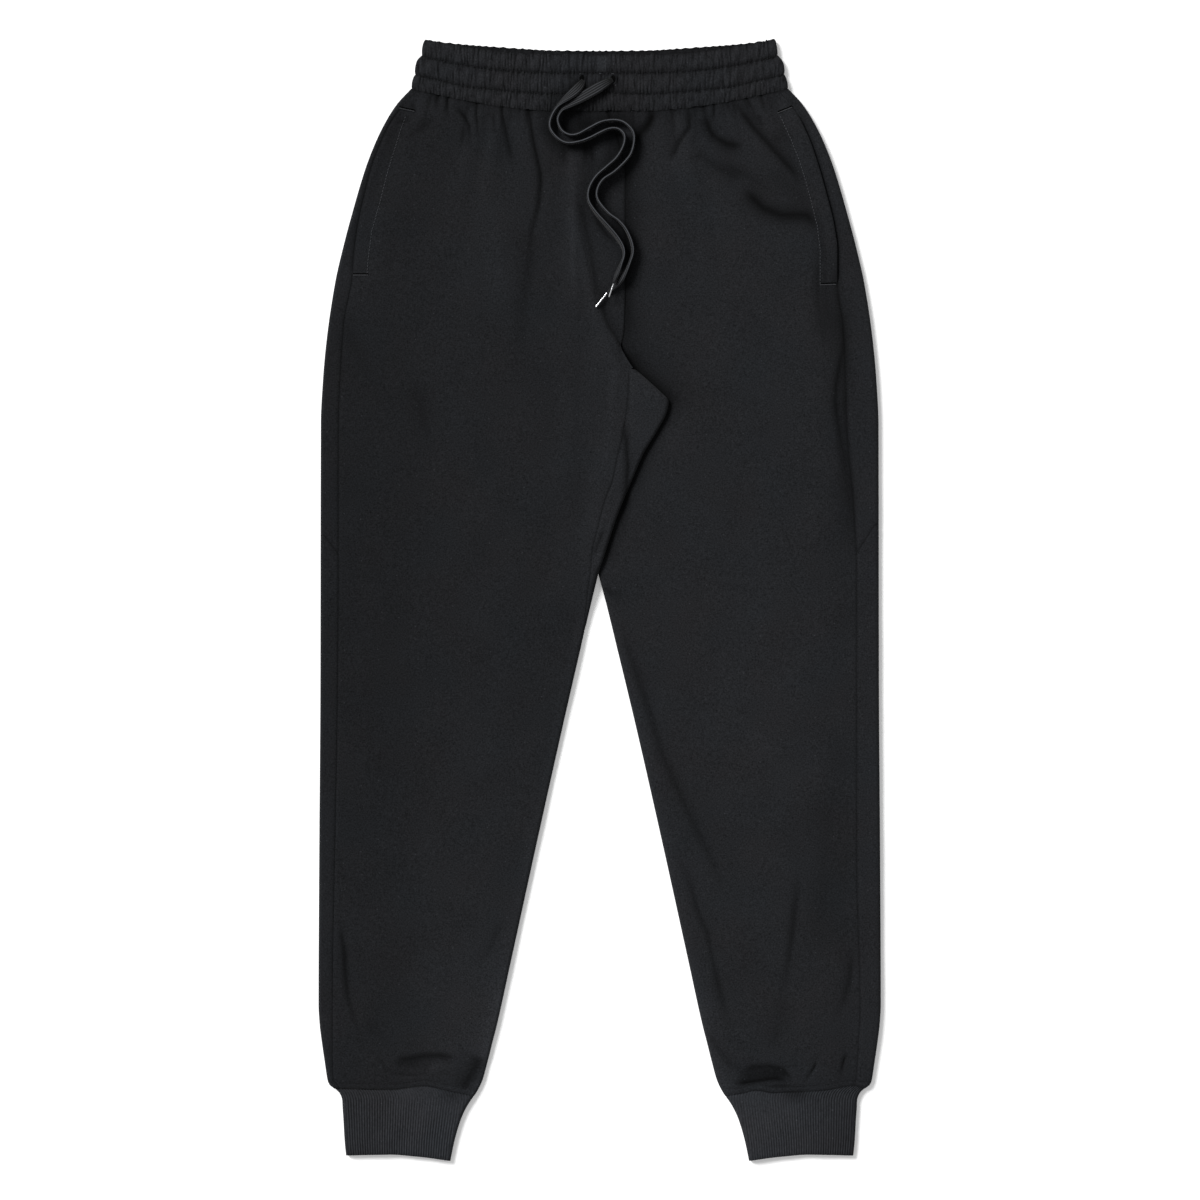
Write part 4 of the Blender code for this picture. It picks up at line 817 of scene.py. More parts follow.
def ring_share(front_columns, fold_columns, back_columns):
    """Round a flattened tube: the share across from -1 to 1, and the angle from the top. The front runs
    from -1 to 1, then a fold, the underside back to -1, and the other fold."""
    front = np.linspace(-1, 1, front_columns)
    turn = np.linspace(0, math.pi, fold_columns + 2)[1:-1]
    back = np.linspace(1, -1, back_columns)
    share = np.concatenate([front, np.ones(fold_columns), back, -np.ones(fold_columns)])
    angle = np.concatenate([np.zeros(front_columns), turn, np.full(back_columns, math.pi), turn[::-1]])
    return share[None, :], angle[None, :]


def ring_section(share, angle, low_edge, high_edge, thick):
    """x and z round a flattened tube between two edges, whose layers lie RING_AIR apart."""
    radius = (thick + RING_AIR) / 2
    middle, reach = (low_edge + high_edge) / 2, (high_edge - low_edge) / 2 - thick / 2 - radius
    x = middle + share * reach + np.sign(share) * radius * np.sin(angle)
    z = thick / 2 + radius * (1 + np.cos(angle))
    return x, z


def gathers(across, channel):
    """Uneven gathers: 'across' in millimetres is cut at uneven places, and between two cuts the cloth puffs
    up as 1 - |2f - 1|^3, f being the share of the way. Gives the puff and how near a cut is."""
    widths = GATHER_WIDTH * np.random.default_rng(WIDTH_SEED).uniform(0.5, 1.6, GATHERS)
    cuts = np.cumsum(widths) - widths.sum() / 2
    cuts = np.sort(cuts + np.random.default_rng(CUT_SEED + channel).normal(0, 1.1, GATHERS))
    heights = np.random.default_rng(PUFF_SEED + channel).uniform(0.3, 1.2, GATHERS)
    i = np.clip(np.searchsorted(cuts, across) - 1, 0, GATHERS - 2)
    f = np.clip((across - cuts[i]) / np.maximum(cuts[i + 1] - cuts[i], 0.5), 0, 1)
    from_middle = np.abs(2 * f - 1)
    return (1 - from_middle**3) * heights[i], from_middle**7 * heights[i]


def wrinkles(x, position):
    """Fine wrinkles of gathered cloth: three sets of narrow lines, where a warped sine crosses zero, that fade
    in and out. 'position' counts the channels down from the top."""
    total = np.zeros(np.broadcast(x, position).shape)
    for pitch, warp, phase in ((3.6, 0.9, 0.3), (5.3, 1.4, 2.1), (2.7, 0.7, 4.4)):
        run = x * math.pi / pitch + warp * np.sin(x * 0.31 + 2.3 * position + phase)
        run = run + 0.7 * np.sin(position * 3.7 + x * 0.13 + phase)
        shows = np.sin(x * 0.19 + 2.9 * position + 3 * phase) ** 2
        total += shows * (1 - np.abs(np.sin(run))) ** 2
    return total


def band_rows(x, up):
    """The four levels of the waistband down from its top edge: top, two stitched rows and the seam."""
    share = np.clip(np.abs(x) / BAND_HALF["half"][-1], 0, 1)
    back_top, front_top, row_1, row_2 = (
        read(BAND_LEVELS, name, share, "share") for name in ("back_top", "front_top", "row_1", "row_2"))
    back_top = back_top + 0.9 * np.abs(np.sin(x * 0.43 + np.sin(x * 0.11)))
    top, seam = mix(back_top - 1.9, front_top - 1.2, up), waist_seam(x, up) - JOIN
    return np.stack([top, mix(mix(top, seam, 0.31), row_1, up), mix(mix(top, seam, 0.69), row_2, up), seam])


def waistband(rows_per_channel, front_columns, fold_columns, back_columns):
    """A tube of three soft channels between stitched rows, gathered all round. The gathers are sharp at the
    rows and soft in the middle of each channel."""
    share, angle = ring_share(front_columns, fold_columns, back_columns)
    up, facing = (1 + np.cos(angle)) / 2, angle == 0
    position = np.linspace(0, 3, 3 * rows_per_channel + 1)[:, None]
    channel = np.minimum(position.astype(int), 2)
    v = position - channel
    from_middle = np.abs(2 * v - 1)
    cross = np.sin(math.pi * np.clip(v, 0, 1)) ** 0.55
    half = read(BAND_HALF, "half", WAIST_DOWN * position / 3) + 1.2 * cross
    x, z = ring_section(share, angle, -half, half, BAND)
    levels = band_rows(x, up)
    row, column = np.indices(x.shape)
    down = mix(levels[channel, row, column], levels[channel + 1, row, column], v)
    puff, cut = np.zeros(x.shape), np.zeros(x.shape)
    for k in range(3):
        rows = channel[:, 0] == k
        lean = (v[rows] - 0.5) * 1.6 * np.sin(x[rows] * 0.31 + k)
        puff[rows], cut[rows] = gathers(x[rows] + lean + 7.2 * (angle > 1), k)
    on_front = np.cos(angle / 2) ** 2
    from_join = np.abs(x - BAND_JOIN_X)
    join = (1 - ease(3.6, 4.6, from_join)) * (position < 0.98) * facing
    puff = puff * (1 - 0.8 * join)
    # Notches where the stitching nips the cloth, and the rows' own small waves.
    row = np.round(position)
    notch = np.maximum(0, np.sin(x * 1.7 + 2.5 * np.sin(x * 0.23 + row) + row)) ** 2
    notch = notch * ease(0.5, 1, from_middle) * (0.4 + 0.6 * np.sin(x * 0.29 + 2 * row) ** 2) * facing
    wrinkle = wrinkles(x, position)
    wave = np.sin(x * 1.5 + 2 * np.sin(x * 0.29))
    at_row = (1 - cross) ** 1.5 * (position > 0.2) * (position < 2.8)
    raised = BAND_PUFF * cross * mix(0.45, 1, puff) * mix(0.25, 1, on_front)
    raised = raised * np.where(position < 0.02, 0.4, 1) + 0.4 * puff * (1 - cross) * on_front
    raised = raised - (0.3 * wrinkle + 0.6 * notch) * on_front * (1 - join)
    down = down + (0.8 * wave * at_row + (0.9 - 1.5 * puff) * ease(0.25, 0, position)) * up
    shade = (1 - 0.7 * cut * mix(0.4, 1, from_middle**2) * (1 - join)) * (0.9 + 0.17 * puff)
    shade = shade * (1 + 0.3 * join) * (1 - 0.42 * wrinkle * (1 - join))
    shade = shade * (1 - 0.5 * notch) * (1 - (0.66 + 0.28 * wave) * at_row)
    shade = shade * (1 - 0.35 * bell(position, 0.12)) * (1 - 0.3 * bell(from_join - 5, 0.8) * facing)
    shade = shade * (1 - 0.25 * ease(2, 3, angle)) * (1 - 0.35 * np.sin(angle))
    shade = shade * (1 - 0.07 * ease(1.6, 2.4, position))
    shade = shade * mix(1, cord_shade(x, down), facing * (position > 0.6))
    return stacked(x, down, z), shade, raised


def cuff(side, rows, front_columns, fold_columns, back_columns):
    """A rib-knit tube. Its ribs are cosine ridges along the leg, a little closer at the hem than at the seam,
    counted from the outer fold, so the last of them end at the inner one."""
    share, angle = ring_share(front_columns, fold_columns, back_columns)
    up, facing = (1 + np.cos(angle)) / 2, angle == 0
    t = np.linspace(0, 1, rows)[:, None] ** 1.6
    down = mix(ANKLE_DOWN, LENGTH, t) + 0 * share
    for _ in range(3):
        inner, outer = (read(CUFF_EDGES, name, down) for name in ("inner", "outer"))
        half, z = ring_section(share, angle, inner, outer, RIB_KNIT)
        down = mix(ankle_seam(side, half, up) + JOIN, read(CUFF_END, "down", half, "half"), t)
    rib = np.cos(2 * math.pi * (outer - half) / mix(RIB_PITCH, RIB_PITCH_END, t)) * facing
    rib = rib * ease(0.5, 4, np.minimum(outer - half, half - inner))
    swell = 0.3 * np.sin(half * 0.11 + t * 4) + 0.2 * np.sin(half * 0.23 - t * 7)
    raised = RIB_HEIGHT * rib + swell * facing - 0.5 * bell(t, 0.02) * up
    # Painted light on the ribs' ridges and painted shade in their hollows, darker lines at the seam and the
    # hem, a painted shadow at the top, darker towards the outer fold, and painted shade round the folds.
    shade = (1 + 0.2 * rib) * (1 - 0.5 * bell(t, 0.012)) * (1 - 0.35 * bell(t - 1, 0.02))
    shaded, deep, outer_darkening = CUFF_SHADE[side]
    shade = shade * (1 - deep * bell(half - shaded, 14) * bell(down - 969, 7) * up)
    shade = shade * (1 - outer_darkening * ease(170, 215, half)) * (1 - 0.3 * np.sin(angle))
    return stacked(SIGN[side] * half, down, z), shade, raised


def cloth_top(x, down):
    """The height of the garment's upper face at a place, without the waistband's gathers."""
    left_front = x < centre_seam(down)
    height = np.where(left_front, front_height(x, down, "left"), front_height(x, down, "right"))
    return mix(BAND_TOP, height + FLEECE / 2, ease(64, 70, down))


def normals_of(grid, closed=False):
    """Unit normals of a grid of points, from the directions along its rows and columns."""
    if closed:
        grid = np.concatenate([grid[:, -1:], grid, grid[:, :1]], axis=1)
    normal = np.cross(np.gradient(grid, axis=0), np.gradient(grid, axis=1))
    if closed:
        normal = normal[:, 1:-1]
    return normal / np.maximum(np.linalg.norm(normal, axis=-1, keepdims=True), 1e-12)


def wall_mesh(outer, inner, closed=False):
    """The solid between two grids of points, with rims on its open sides. A closed one is a ring across."""
    columns = outer.shape[1]

    def indices(grid, base):
        index = base + np.arange(grid.shape[0] * columns).reshape(-1, columns)
        return np.concatenate([index, index[:, :1]], axis=1) if closed else index

    def quads(a, b, c, d):
        return stacked(a, b, c, d).reshape(-1, 4)

    out, into = indices(outer, 0), indices(inner, outer.shape[0] * columns)
    faces = [
        quads(out[:-1, :-1], out[1:, :-1], out[1:, 1:], out[:-1, 1:]),
        quads(into[:-1, :-1], into[:-1, 1:], into[1:, 1:], into[1:, :-1]),
        quads(out[0, :-1], out[0, 1:], into[0, 1:], into[0, :-1]),
        quads(out[-1, 1:], out[-1, :-1], into[-1, :-1], into[-1, 1:]),
    ]
    if not closed:
        faces.append(quads(out[1:, 0], out[:-1, 0], into[:-1, 0], into[1:, 0]))
        faces.append(quads(out[:-1, -1], out[1:, -1], into[1:, -1], into[:-1, -1]))
    return np.concatenate([outer.reshape(-1, 3), inner.reshape(-1, 3)]), np.concatenate(faces)


def add_mesh(name, points, quads, finish, shade=None, corner_uv=None):
    """A piece from points in metres and four-sided faces, turned outwards if its volume comes out negative."""
    a, b, c, d = (points[quads[:, k]] for k in range(4))
    volume = np.einsum("ij,ij->", a, np.cross(b, c)) + np.einsum("ij,ij->", a, np.cross(c, d))
    if volume < 0:
        quads = quads[:, ::-1]
        corner_uv = None if corner_uv is None else corner_uv[:, ::-1]
    mesh = bpy.data.meshes.new(name)
    mesh.vertices.add(len(points))
    mesh.vertices.foreach_set("co", points.astype(np.float32).ravel())
    mesh.loops.add(quads.size)
    mesh.loops.foreach_set("vertex_index", quads.astype(np.int32).ravel())
    mesh.polygons.add(len(quads))
    mesh.polygons.foreach_set("loop_start", np.arange(0, quads.size, 4, dtype=np.int32))
    mesh.update(calc_edges=True)
    mesh.shade_smooth()
    mesh.set_sharp_from_angle(angle=SHARP_ANGLE)
    if shade is not None:
        shades = mesh.attributes.new("shade", "FLOAT", "POINT").data
        shades.foreach_set("value", shade.astype(np.float32).ravel())
    if corner_uv is not None:
        mesh.uv_layers.new(name="lay").data.foreach_set("uv", corner_uv.astype(np.float32).ravel())
    mesh.materials.append(finish)
    return add_object(name, mesh)


def add_object(name, data):
    made = bpy.data.objects.new(name, data)
    bpy.context.scene.collection.objects.link(made)
    return made


def cloth(name, grid, shade, thick, finish, raised=0.0, closed=False):
    """A cloth piece from the grid of its middle: half the thickness out and half in. 'raised' lifts the outer
    points only."""
    middle = world(*np.moveaxis(grid, -1, 0))
    normal = normals_of(middle, closed)
    upper = grid[..., 2] >= grid[..., 2].mean()
    if normal[..., 2][upper].mean() < 0:
        normal = -normal
    outer = middle + normal * (thick / 2 + np.broadcast_to(raised, shade.shape))[..., None] * MM
    inner = middle - normal * thick / 2 * MM
    outer[..., 2] = np.maximum(outer[..., 2], 0)
    inner[..., 2] = np.maximum(inner[..., 2], 0.0001)
    points, quads = wall_mesh(outer, inner, closed)
    return add_mesh(name, points, quads, finish, np.concatenate([shade.ravel(), 0.8 * shade.ravel()]))


def smooth_path(route, count):
    """Evenly spaced points along the smooth curve through a route, with its turn and clearance."""
    key = np.arange(len(route["x"]), dtype=float)
    fine = np.linspace(0, key[-1], 900)
    x, down = (catmull_rom(key, route[name], fine) for name in ("x", "down"))
    length = np.concatenate([[0], np.cumsum(np.hypot(np.diff(x), np.diff(down)))])
    at = np.interp(np.linspace(0, length[-1], count), length, fine)
    x, down, turn, over = (catmull_rom(key, route[name], at) for name in ("x", "down", "turn", "over"))
    return x, down, np.radians(turn), np.maximum(over, 0.3)


def catmull_rom(key, values, at):
    """A smooth curve through evenly keyed values."""
    slope = np.gradient(values)
    i = np.clip(at.astype(int), 0, len(key) - 2)
    t = at - i
    ahead = t * t * (3 - 2 * t)
    curve = values[i] + ahead * (values[i + 1] - values[i])
    return curve + t * (1 - t) ** 2 * slope[i] - t * t * (1 - t) * slope[i + 1]


def cord_line(side, count):
    """The cord's centre points in millimetres, its sideways directions and its turn."""
    x, down, turn, over = smooth_path(CORD_ROUTES[side], count)
    centre = stacked(x, LENGTH / 2 - down)
    tangent = np.gradient(centre, axis=0)
    tangent /= np.linalg.norm(tangent, axis=1, keepdims=True)
    aside = stacked(-tangent[:, 1], tangent[:, 0])
    reach = 0.5 * (CORD_WIDTH * np.sin(turn) + CORD_THICK * np.cos(turn))
    spread = 0.5 * (CORD_WIDTH * np.cos(turn) + CORD_THICK * np.sin(turn))
    under = [cloth_top(x + aside[:, 0] * spread * k, down - aside[:, 1] * spread * k) for k in (-1, 0, 1)]
    z = np.max(under, axis=0) + over + reach
    window = max(3, count // 12) | 1
    z = np.convolve(np.pad(z, window // 2, mode="edge"), np.ones(window) / window, mode="valid")
    z = np.maximum(z, np.max(under, axis=0) + over + reach)
    return centre, z, aside, turn


def drawcord(side, count, sides):
    """A flat tubular braid swept along its route: a rounded oblong section that turns from lying flat to
    standing on edge. Gives what add_mesh takes after the name, and the centre line."""
    centre, z, aside, turn = cord_line(side, count)
    along = run_of(centre)
    girth_at, end_at = CORD_GIRTH[side], CORD_END
    scale = through(girth_at["start"], girth_at["scale"], along)
    scale = scale * through(end_at["before"], end_at["scale"], along[-1] - along)
    around = np.linspace(0, 2 * math.pi, sides, endpoint=False)
    wide, tall = (
        size / 2 * np.sign(part) * np.abs(part) ** 0.5
        for size, part in ((CORD_WIDTH, np.cos(around)), (CORD_THICK, np.sin(around))))
    spread, turned = wide[None, :] * scale[:, None], turn[:, None]
    flat = spread * np.cos(turned) - tall[None, :] * np.sin(turned)
    rise = spread * np.sin(turned) + tall[None, :] * np.cos(turned)
    points = np.empty((count, sides, 3))
    points[..., :2] = centre[:, None, :] + aside[:, None, :] * flat[..., None]
    points[..., 2] = z[:, None] + rise - HOLE_DIP * (1 - ease(0, 5, along))[:, None]
    # A cord standing on edge gets painted light along its upper edge and painted shade on its faces; lying
    # flat it is evenly darker; towards the buttonhole it gets painted shade.
    top_edge = np.clip(rise / np.maximum(np.abs(rise).max(axis=1, keepdims=True), 1e-6), -1, 1)
    shade = mix(0.16 + 0.68 * ease(0.4, 0.92, top_edge), 0.36, np.cos(turned))
    shade = shade * mix(0.3, 1, ease(1, 14, along))[:, None]
    profile = stacked(wide, tall)
    girth = np.concatenate([[0], np.cumsum(np.hypot(*(np.roll(profile, -1, axis=0) - profile).T))])
    quads, uv = tube_faces(count, sides, girth * CORD_RIBS * CORD_RIB / girth[-1], run_of(centre))
    points = np.concatenate([points.reshape(-1, 3), points[[0, -1]].mean(axis=1)])
    shade = np.concatenate([shade.ravel(), [1, 1]])
    return points * MM, quads, braid, shade, uv, np.concatenate([centre, z[:, None]], axis=1) * MM


def run_of(points):
    """How far along a line of points each one is."""
    return np.concatenate([[0], np.cumsum(np.linalg.norm(np.diff(points, axis=0), axis=1))])


def tube_faces(count, sides, girth, along):
    """Faces and corner UVs (in millimetres round and along) of a tube of rings, closed at both ends by faces
    that meet in one point each, which are the last two points."""
    index = np.arange(count * sides).reshape(count, sides)
    after = np.roll(index, -1, axis=1)
    body = stacked(index[:-1], after[:-1], after[1:], index[1:]).reshape(-1, 4)
    corners = [
        stacked(girth[None, du : du + sides], along[dv : dv + count - 1, None])
        for du, dv in ((0, 0), (1, 0), (1, 1), (0, 1))
    ]
    uv = np.stack(corners, axis=2).reshape(-1, 4, 2)
    half = np.arange(0, sides, 2)
    middle = np.full(len(half), count * sides)
    (first, first_1, first_2), (last, last_1, last_2) = (
        [ring[(half + step) % sides] for step in range(3)] for ring in index[[0, -1]])
    start = stacked(middle, first_2, first_1, first)
    end = stacked(middle + 1, last, last_1, last_2)
    return np.concatenate([body, start, end]), np.concatenate([uv, np.zeros((2 * len(half), 4, 2))])


def cord_tip(side, rings, sides):
    """A slim metal tube crimped on the cord's end, with two crimped necks and a rounded end. Its shade is
    painted shade on its sides, so that only a strip along its top keeps its full colour."""
    tip = CORD_TIPS[side]
    start, end = np.array(tip["start"]), np.array(tip["end"])
    t = np.linspace(0, 1, rings)
    crimps = 0.14 * bell(t - 0.16, 0.035) + 0.14 * bell(t - 0.3, 0.035)
    rounded = np.sqrt(np.clip(1 - np.clip((t - 0.92) / 0.08, 0, 1) ** 2, 0.05, 1))
    radius = (TIP_WIDTH / 2 * (1 - crimps) * rounded * (1 + 0.06 * bell(t, 0.03)))[:, None]
    x, down = np.moveaxis(mix(start, end, t[:, None]), -1, 0)[..., None]
    low, high = float(cloth_top(*start)) + tip["over"], float(cloth_top(*end)) + tip["over_end"]
    turn = np.linspace(0, 2 * math.pi, sides, endpoint=False)
    aside_x, aside_down = np.array([-1, 1]) * ((end - start) / np.linalg.norm(end - start))[::-1]
    points = stacked(
        x + aside_x * radius * np.cos(turn), LENGTH / 2 - (down + aside_down * radius * np.cos(turn)),
        np.interp(t, [0, 1], [low, high])[:, None] + radius * np.sin(turn),
    )
    quads, _ = tube_faces(rings, sides, np.zeros(sides + 1), t)
    points = np.concatenate([points.reshape(-1, 3), points[[0, -1]].mean(axis=1)])
    # Painted shade on the sides, full colour along the top.
    top = np.concatenate([np.tile(np.sin(turn), rings), [0, 0]])
    return points * MM, quads, metal, 0.04 + 0.96 * ease(0.6, 1.0, top)


def stitch_row(path, height_of, pitch, length, thread=THREAD, across=False):
    """Stitches along a line of (x, down) points, or across it: each a slim straight spindle, its ends sunk
    into the cloth. Five rings of five points each, with radii 0.25, 0.9, 1, 0.9 and 0.25 of the thread's."""
    path = np.array(path, float)
    run = run_of(path)
    count = max(1, int(run[-1] / pitch))
    middles = (np.arange(count) + 0.5) * run[-1] / count

    def at(place):
        return np.stack([np.interp(place, run, path[:, k]) for k in (0, 1)], axis=-1)

    ahead = at(middles + 0.5) - at(middles - 0.5)
    ahead /= np.maximum(np.linalg.norm(ahead, axis=1, keepdims=True), 1e-9)
    if across:
        ahead = stacked(-ahead[:, 1], ahead[:, 0])
    ahead_x, ahead_down = ahead[:, :1], ahead[:, 1:]
    reach = np.array([-0.5, -0.3, 0, 0.3, 0.5]) * length
    x, down = (part[:, None] + step * reach for part, step in zip(at(middles).T, (ahead_x, ahead_down)))
    radii = np.array([0.25, 0.9, 1.0, 0.9, 0.25])[:, None] * thread / 2
    dips = np.array([-0.35, 0.05, 0.12, 0.05, -0.35])
    z = height_of(x, down) + dips - THREAD_SINK + thread / 2
    turn = np.linspace(0, 2 * math.pi, 5, endpoint=False)
    wide = radii * np.cos(turn)
    points = stacked(
        x[..., None] - ahead_down[..., None] * wide,
        LENGTH / 2 - (down[..., None] + ahead_x[..., None] * wide),
        z[..., None] + radii * np.sin(turn) * 1.3,
    )
    ring, rings = np.arange(5), 5 * np.arange(4)[:, None]
    base, beside = (rings + ring).ravel(), (rings + (ring + 1) % 5).ravel()
    one = stacked(base, beside, beside + 5, base + 5)
    return points.reshape(-1, 3) * MM, (np.arange(count)[:, None, None] * 25 + one).reshape(-1, 4)


# Finishes. Every cloth finish reads the "shade" of its piece; patterns read Object coordinates, in metres.

def feed(tree, made, socket, value):
    """A socket takes a value, or another node's output."""
    if isinstance(value, bpy.types.NodeSocket):
        tree.links.new(value, made.inputs[socket])
    else:
        made.inputs[socket].default_value = value


def node(tree, kind, inputs=None, **settings):
    """A shader node with its settings and inputs, which are values or other nodes' sockets."""
    made = tree.nodes.new(kind)
    for name, value in settings.items():
        setattr(made, name, value)
    for socket, value in (inputs or {}).items():
        feed(tree, made, socket, value)
    return made


def maths(tree, operation, *values):
    return node(tree, "ShaderNodeMath", dict(enumerate(values)), operation=operation).outputs[0]


def new_group(name, takes, gives):
    tree = bpy.data.node_groups.new(name, "ShaderNodeTree")
    for socket, kind in takes.items():
        tree.interface.new_socket(socket, in_out="INPUT", socket_type=kind)
    for socket in gives:
        tree.interface.new_socket(socket, in_out="OUTPUT", socket_type="NodeSocketFloat")
    return tree, tree.nodes.new("NodeGroupInput").outputs, tree.nodes.new("NodeGroupOutput")


def fibre_group():
    """Brushed knit: a fine grain round 1 for the colour and the bump, which is the mean of a noise drawn out
    across and one drawn out along the cloth, a slow cloudiness, and specks of lint in a few cells of a cell
    pattern."""
    tree, takes, out = new_group(
        "brushed_fibre",
        {"Vector": "NodeSocketVector", "Grain per metre": "NodeSocketFloat", "Contrast": "NodeSocketFloat",
         "Across": "NodeSocketFloat", "Along": "NodeSocketFloat"},
        ("Tint", "Height", "Lint", "Warmth"),
    )
    grains = []
    for axis, socket in enumerate(("Across", "Along")):
        squeeze = node(tree, "ShaderNodeCombineXYZ", {0: 1.0, 1: 1.0, 2: 1.0, axis: takes[socket]}).outputs[0]
        place = node(tree, "ShaderNodeVectorMath", {0: takes["Vector"], 1: squeeze}, operation="MULTIPLY")
        fine = {"Vector": place.outputs[0], "Scale": takes["Grain per metre"], "Detail": 2.0, "Roughness": 0.6}
        grains.append(node(tree, "ShaderNodeTexNoise", fine).outputs[0])
    grain = maths(tree, "MULTIPLY", maths(tree, "ADD", *grains), 0.5)
    slow = {"Vector": takes["Vector"], "Scale": 22.0, "Detail": 3.0, "Roughness": 0.5}
    cloud = node(tree, "ShaderNodeTexNoise", slow).outputs[0]
    tint = maths(tree, "MULTIPLY", maths(tree, "SUBTRACT", grain, 0.5), takes["Contrast"])
    tint = maths(tree, "ADD", maths(tree, "MULTIPLY_ADD", maths(tree, "SUBTRACT", cloud, 0.5), 0.3, 1.0), tint)
    spread = {"Vector": takes["Vector"], "Scale": 60.0}
    cells = node(tree, "ShaderNodeTexVoronoi", spread, voronoi_dimensions="2D")
    chosen = node(tree, "ShaderNodeSeparateColor", {0: cells.outputs["Color"]}).outputs[0]
    speck = maths(tree, "LESS_THAN", cells.outputs["Distance"], 0.035)
    broad = {"Vector": takes["Vector"], "Scale": 17.0, "Detail": 4.0}
    hue = node(tree, "ShaderNodeTexNoise", broad).outputs[0]
    tree.links.new(maths(tree, "MULTIPLY_ADD", hue, 2.4, -0.7), out.inputs["Warmth"])
    tree.links.new(maths(tree, "MAXIMUM", tint, 0.2), out.inputs["Tint"])
    tree.links.new(grain, out.inputs["Height"])
    lint = maths(tree, "MULTIPLY", speck, maths(tree, "GREATER_THAN", chosen, 0.75))
    tree.links.new(lint, out.inputs["Lint"])
    return tree


FIBRE = fibre_group()
COOL, WARM = (0.97, 1.0, 1.02), (1.04, 0.99, 0.98)


def new_finish(name, **values):
    """A material, its node tree and its shader. The values are the shader's own, with _ for a space in a
    socket's name."""
    made = bpy.data.materials.new(name)
    made.use_nodes = True
    tree = made.node_tree
    shader = tree.nodes["Principled BSDF"]
    for socket, value in values.items():
        shader.inputs[socket.replace("_", " ")].default_value = value
    return made, tree, shader


def own_inputs(tree):
    """The shade of the piece and its Object coordinates."""
    shade = node(tree, "ShaderNodeAttribute", attribute_name="shade").outputs["Fac"]
    return shade, tree.nodes.new("ShaderNodeTexCoord").outputs["Object"]


def dress(tree, shader, colour, bright, **bump):
    """Colour x brightness as the shader's colour, and a height as its bump."""
    dyed = node(tree, "ShaderNodeVectorMath", {0: colour, "Scale": bright}, operation="SCALE").outputs[0]
    tree.links.new(dyed, shader.inputs["Base Color"])
    tree.links.new(node(tree, "ShaderNodeBump", bump).outputs[0], shader.inputs["Normal"])


def cloth_finish(name, colour, grain, contrast, across=0.4, along=0.4, sheen=0.03, lint=0.9):
    """A brushed cloth: colour x shade x fibre tint, a few lighter lint specks, and the fibre as bump."""
    made, tree, shader = new_finish(
        name, Roughness=0.95, Specular_IOR_Level=0.04, Sheen_Weight=sheen, Sheen_Roughness=0.6)
    shade, place = own_inputs(tree)
    takes = {"Vector": place, "Grain per metre": grain, "Contrast": contrast, "Across": across, "Along": along}
    fibre = node(tree, "ShaderNodeGroup", takes, node_tree=FIBRE).outputs
    bright = maths(tree, "MULTIPLY", shade, fibre["Tint"])
    bright = maths(tree, "ADD", bright, maths(tree, "MULTIPLY", fibre["Lint"], lint))
    ends = [tuple(part * share for part, share in zip(colour, tint)) for tint in (COOL, WARM)]
    mixed = {"Factor": fibre["Warmth"], 4: ends[0], 5: ends[1]}
    dye = node(tree, "ShaderNodeMix", mixed, data_type="VECTOR", clamp_factor=True).outputs[1]
    dress(tree, shader, dye, bright, Height=fibre["Height"], Distance=0.00025, Strength=0.6)
    return made


def braid_finish(colour):
    """A flat tubular braid, read off the cord's own map in millimetres: lengthwise ribs CORD_RIB apart, one of
    them on each edge, each a column of slanting yarns, as cos(2 pi (along / 1.5 + |across rib| x 1.1))."""
    made, tree, shader = new_finish(
        "charcoal_braid", Roughness=0.7, Specular_IOR_Level=0.15, Sheen_Weight=0.05)
    shade, place = own_inputs(tree)
    lay = node(tree, "ShaderNodeUVMap", uv_map="lay").outputs[0]
    parts = node(tree, "ShaderNodeSeparateXYZ", {0: lay}).outputs
    rib = maths(tree, "FRACT", maths(tree, "MULTIPLY_ADD", parts[0], 1 / CORD_RIB, 0.5))
    from_ridge = maths(tree, "ABSOLUTE", maths(tree, "SUBTRACT", rib, 0.5))
    slant = maths(tree, "MULTIPLY_ADD", from_ridge, 1.1, maths(tree, "DIVIDE", parts[1], 1.5))
    yarn, ridge = (
        maths(tree, "COSINE", maths(tree, "MULTIPLY", turns, 2 * math.pi)) for turns in (slant, from_ridge))
    line = maths(tree, "POWER", maths(tree, "MULTIPLY_ADD", ridge, 0.5, 0.5), 2.2)
    fuzz = node(tree, "ShaderNodeTexNoise", {"Vector": place, "Scale": 900.0, "Detail": 2.0}).outputs[0]
    bright = maths(tree, "MULTIPLY_ADD", yarn, 0.12, maths(tree, "MULTIPLY_ADD", line, 1.75, 0.04))
    bright = maths(tree, "MULTIPLY", bright, maths(tree, "MULTIPLY_ADD", fuzz, 0.6, 0.7))
    height = maths(tree, "MULTIPLY_ADD", yarn, 0.2, ridge)
    bright = maths(tree, "MULTIPLY", bright, shade)
    dress(tree, shader, colour, bright, Height=height, Distance=0.0002, Strength=0.7)
    return made


def metal_finish(colour):
    """Bright plated metal with fine handling marks: a noise varies its roughness, and its shade is painted
    shade.
    """
    made, tree, shader = new_finish("bright_metal", Metallic=1.0)
    side_shade, place = own_inputs(tree)
    marks = node(tree, "ShaderNodeTexNoise", {"Vector": place, "Scale": 1400.0, "Detail": 3.0}).outputs[0]
    tree.links.new(maths(tree, "MULTIPLY_ADD", marks, 0.25, 0.14), shader.inputs["Roughness"])
    bright = maths(tree, "MULTIPLY", maths(tree, "MULTIPLY_ADD", marks, 0.3, 0.85), side_shade)
    dress(tree, shader, colour, bright, Height=marks, Distance=0.00004, Strength=0.4)
    return made


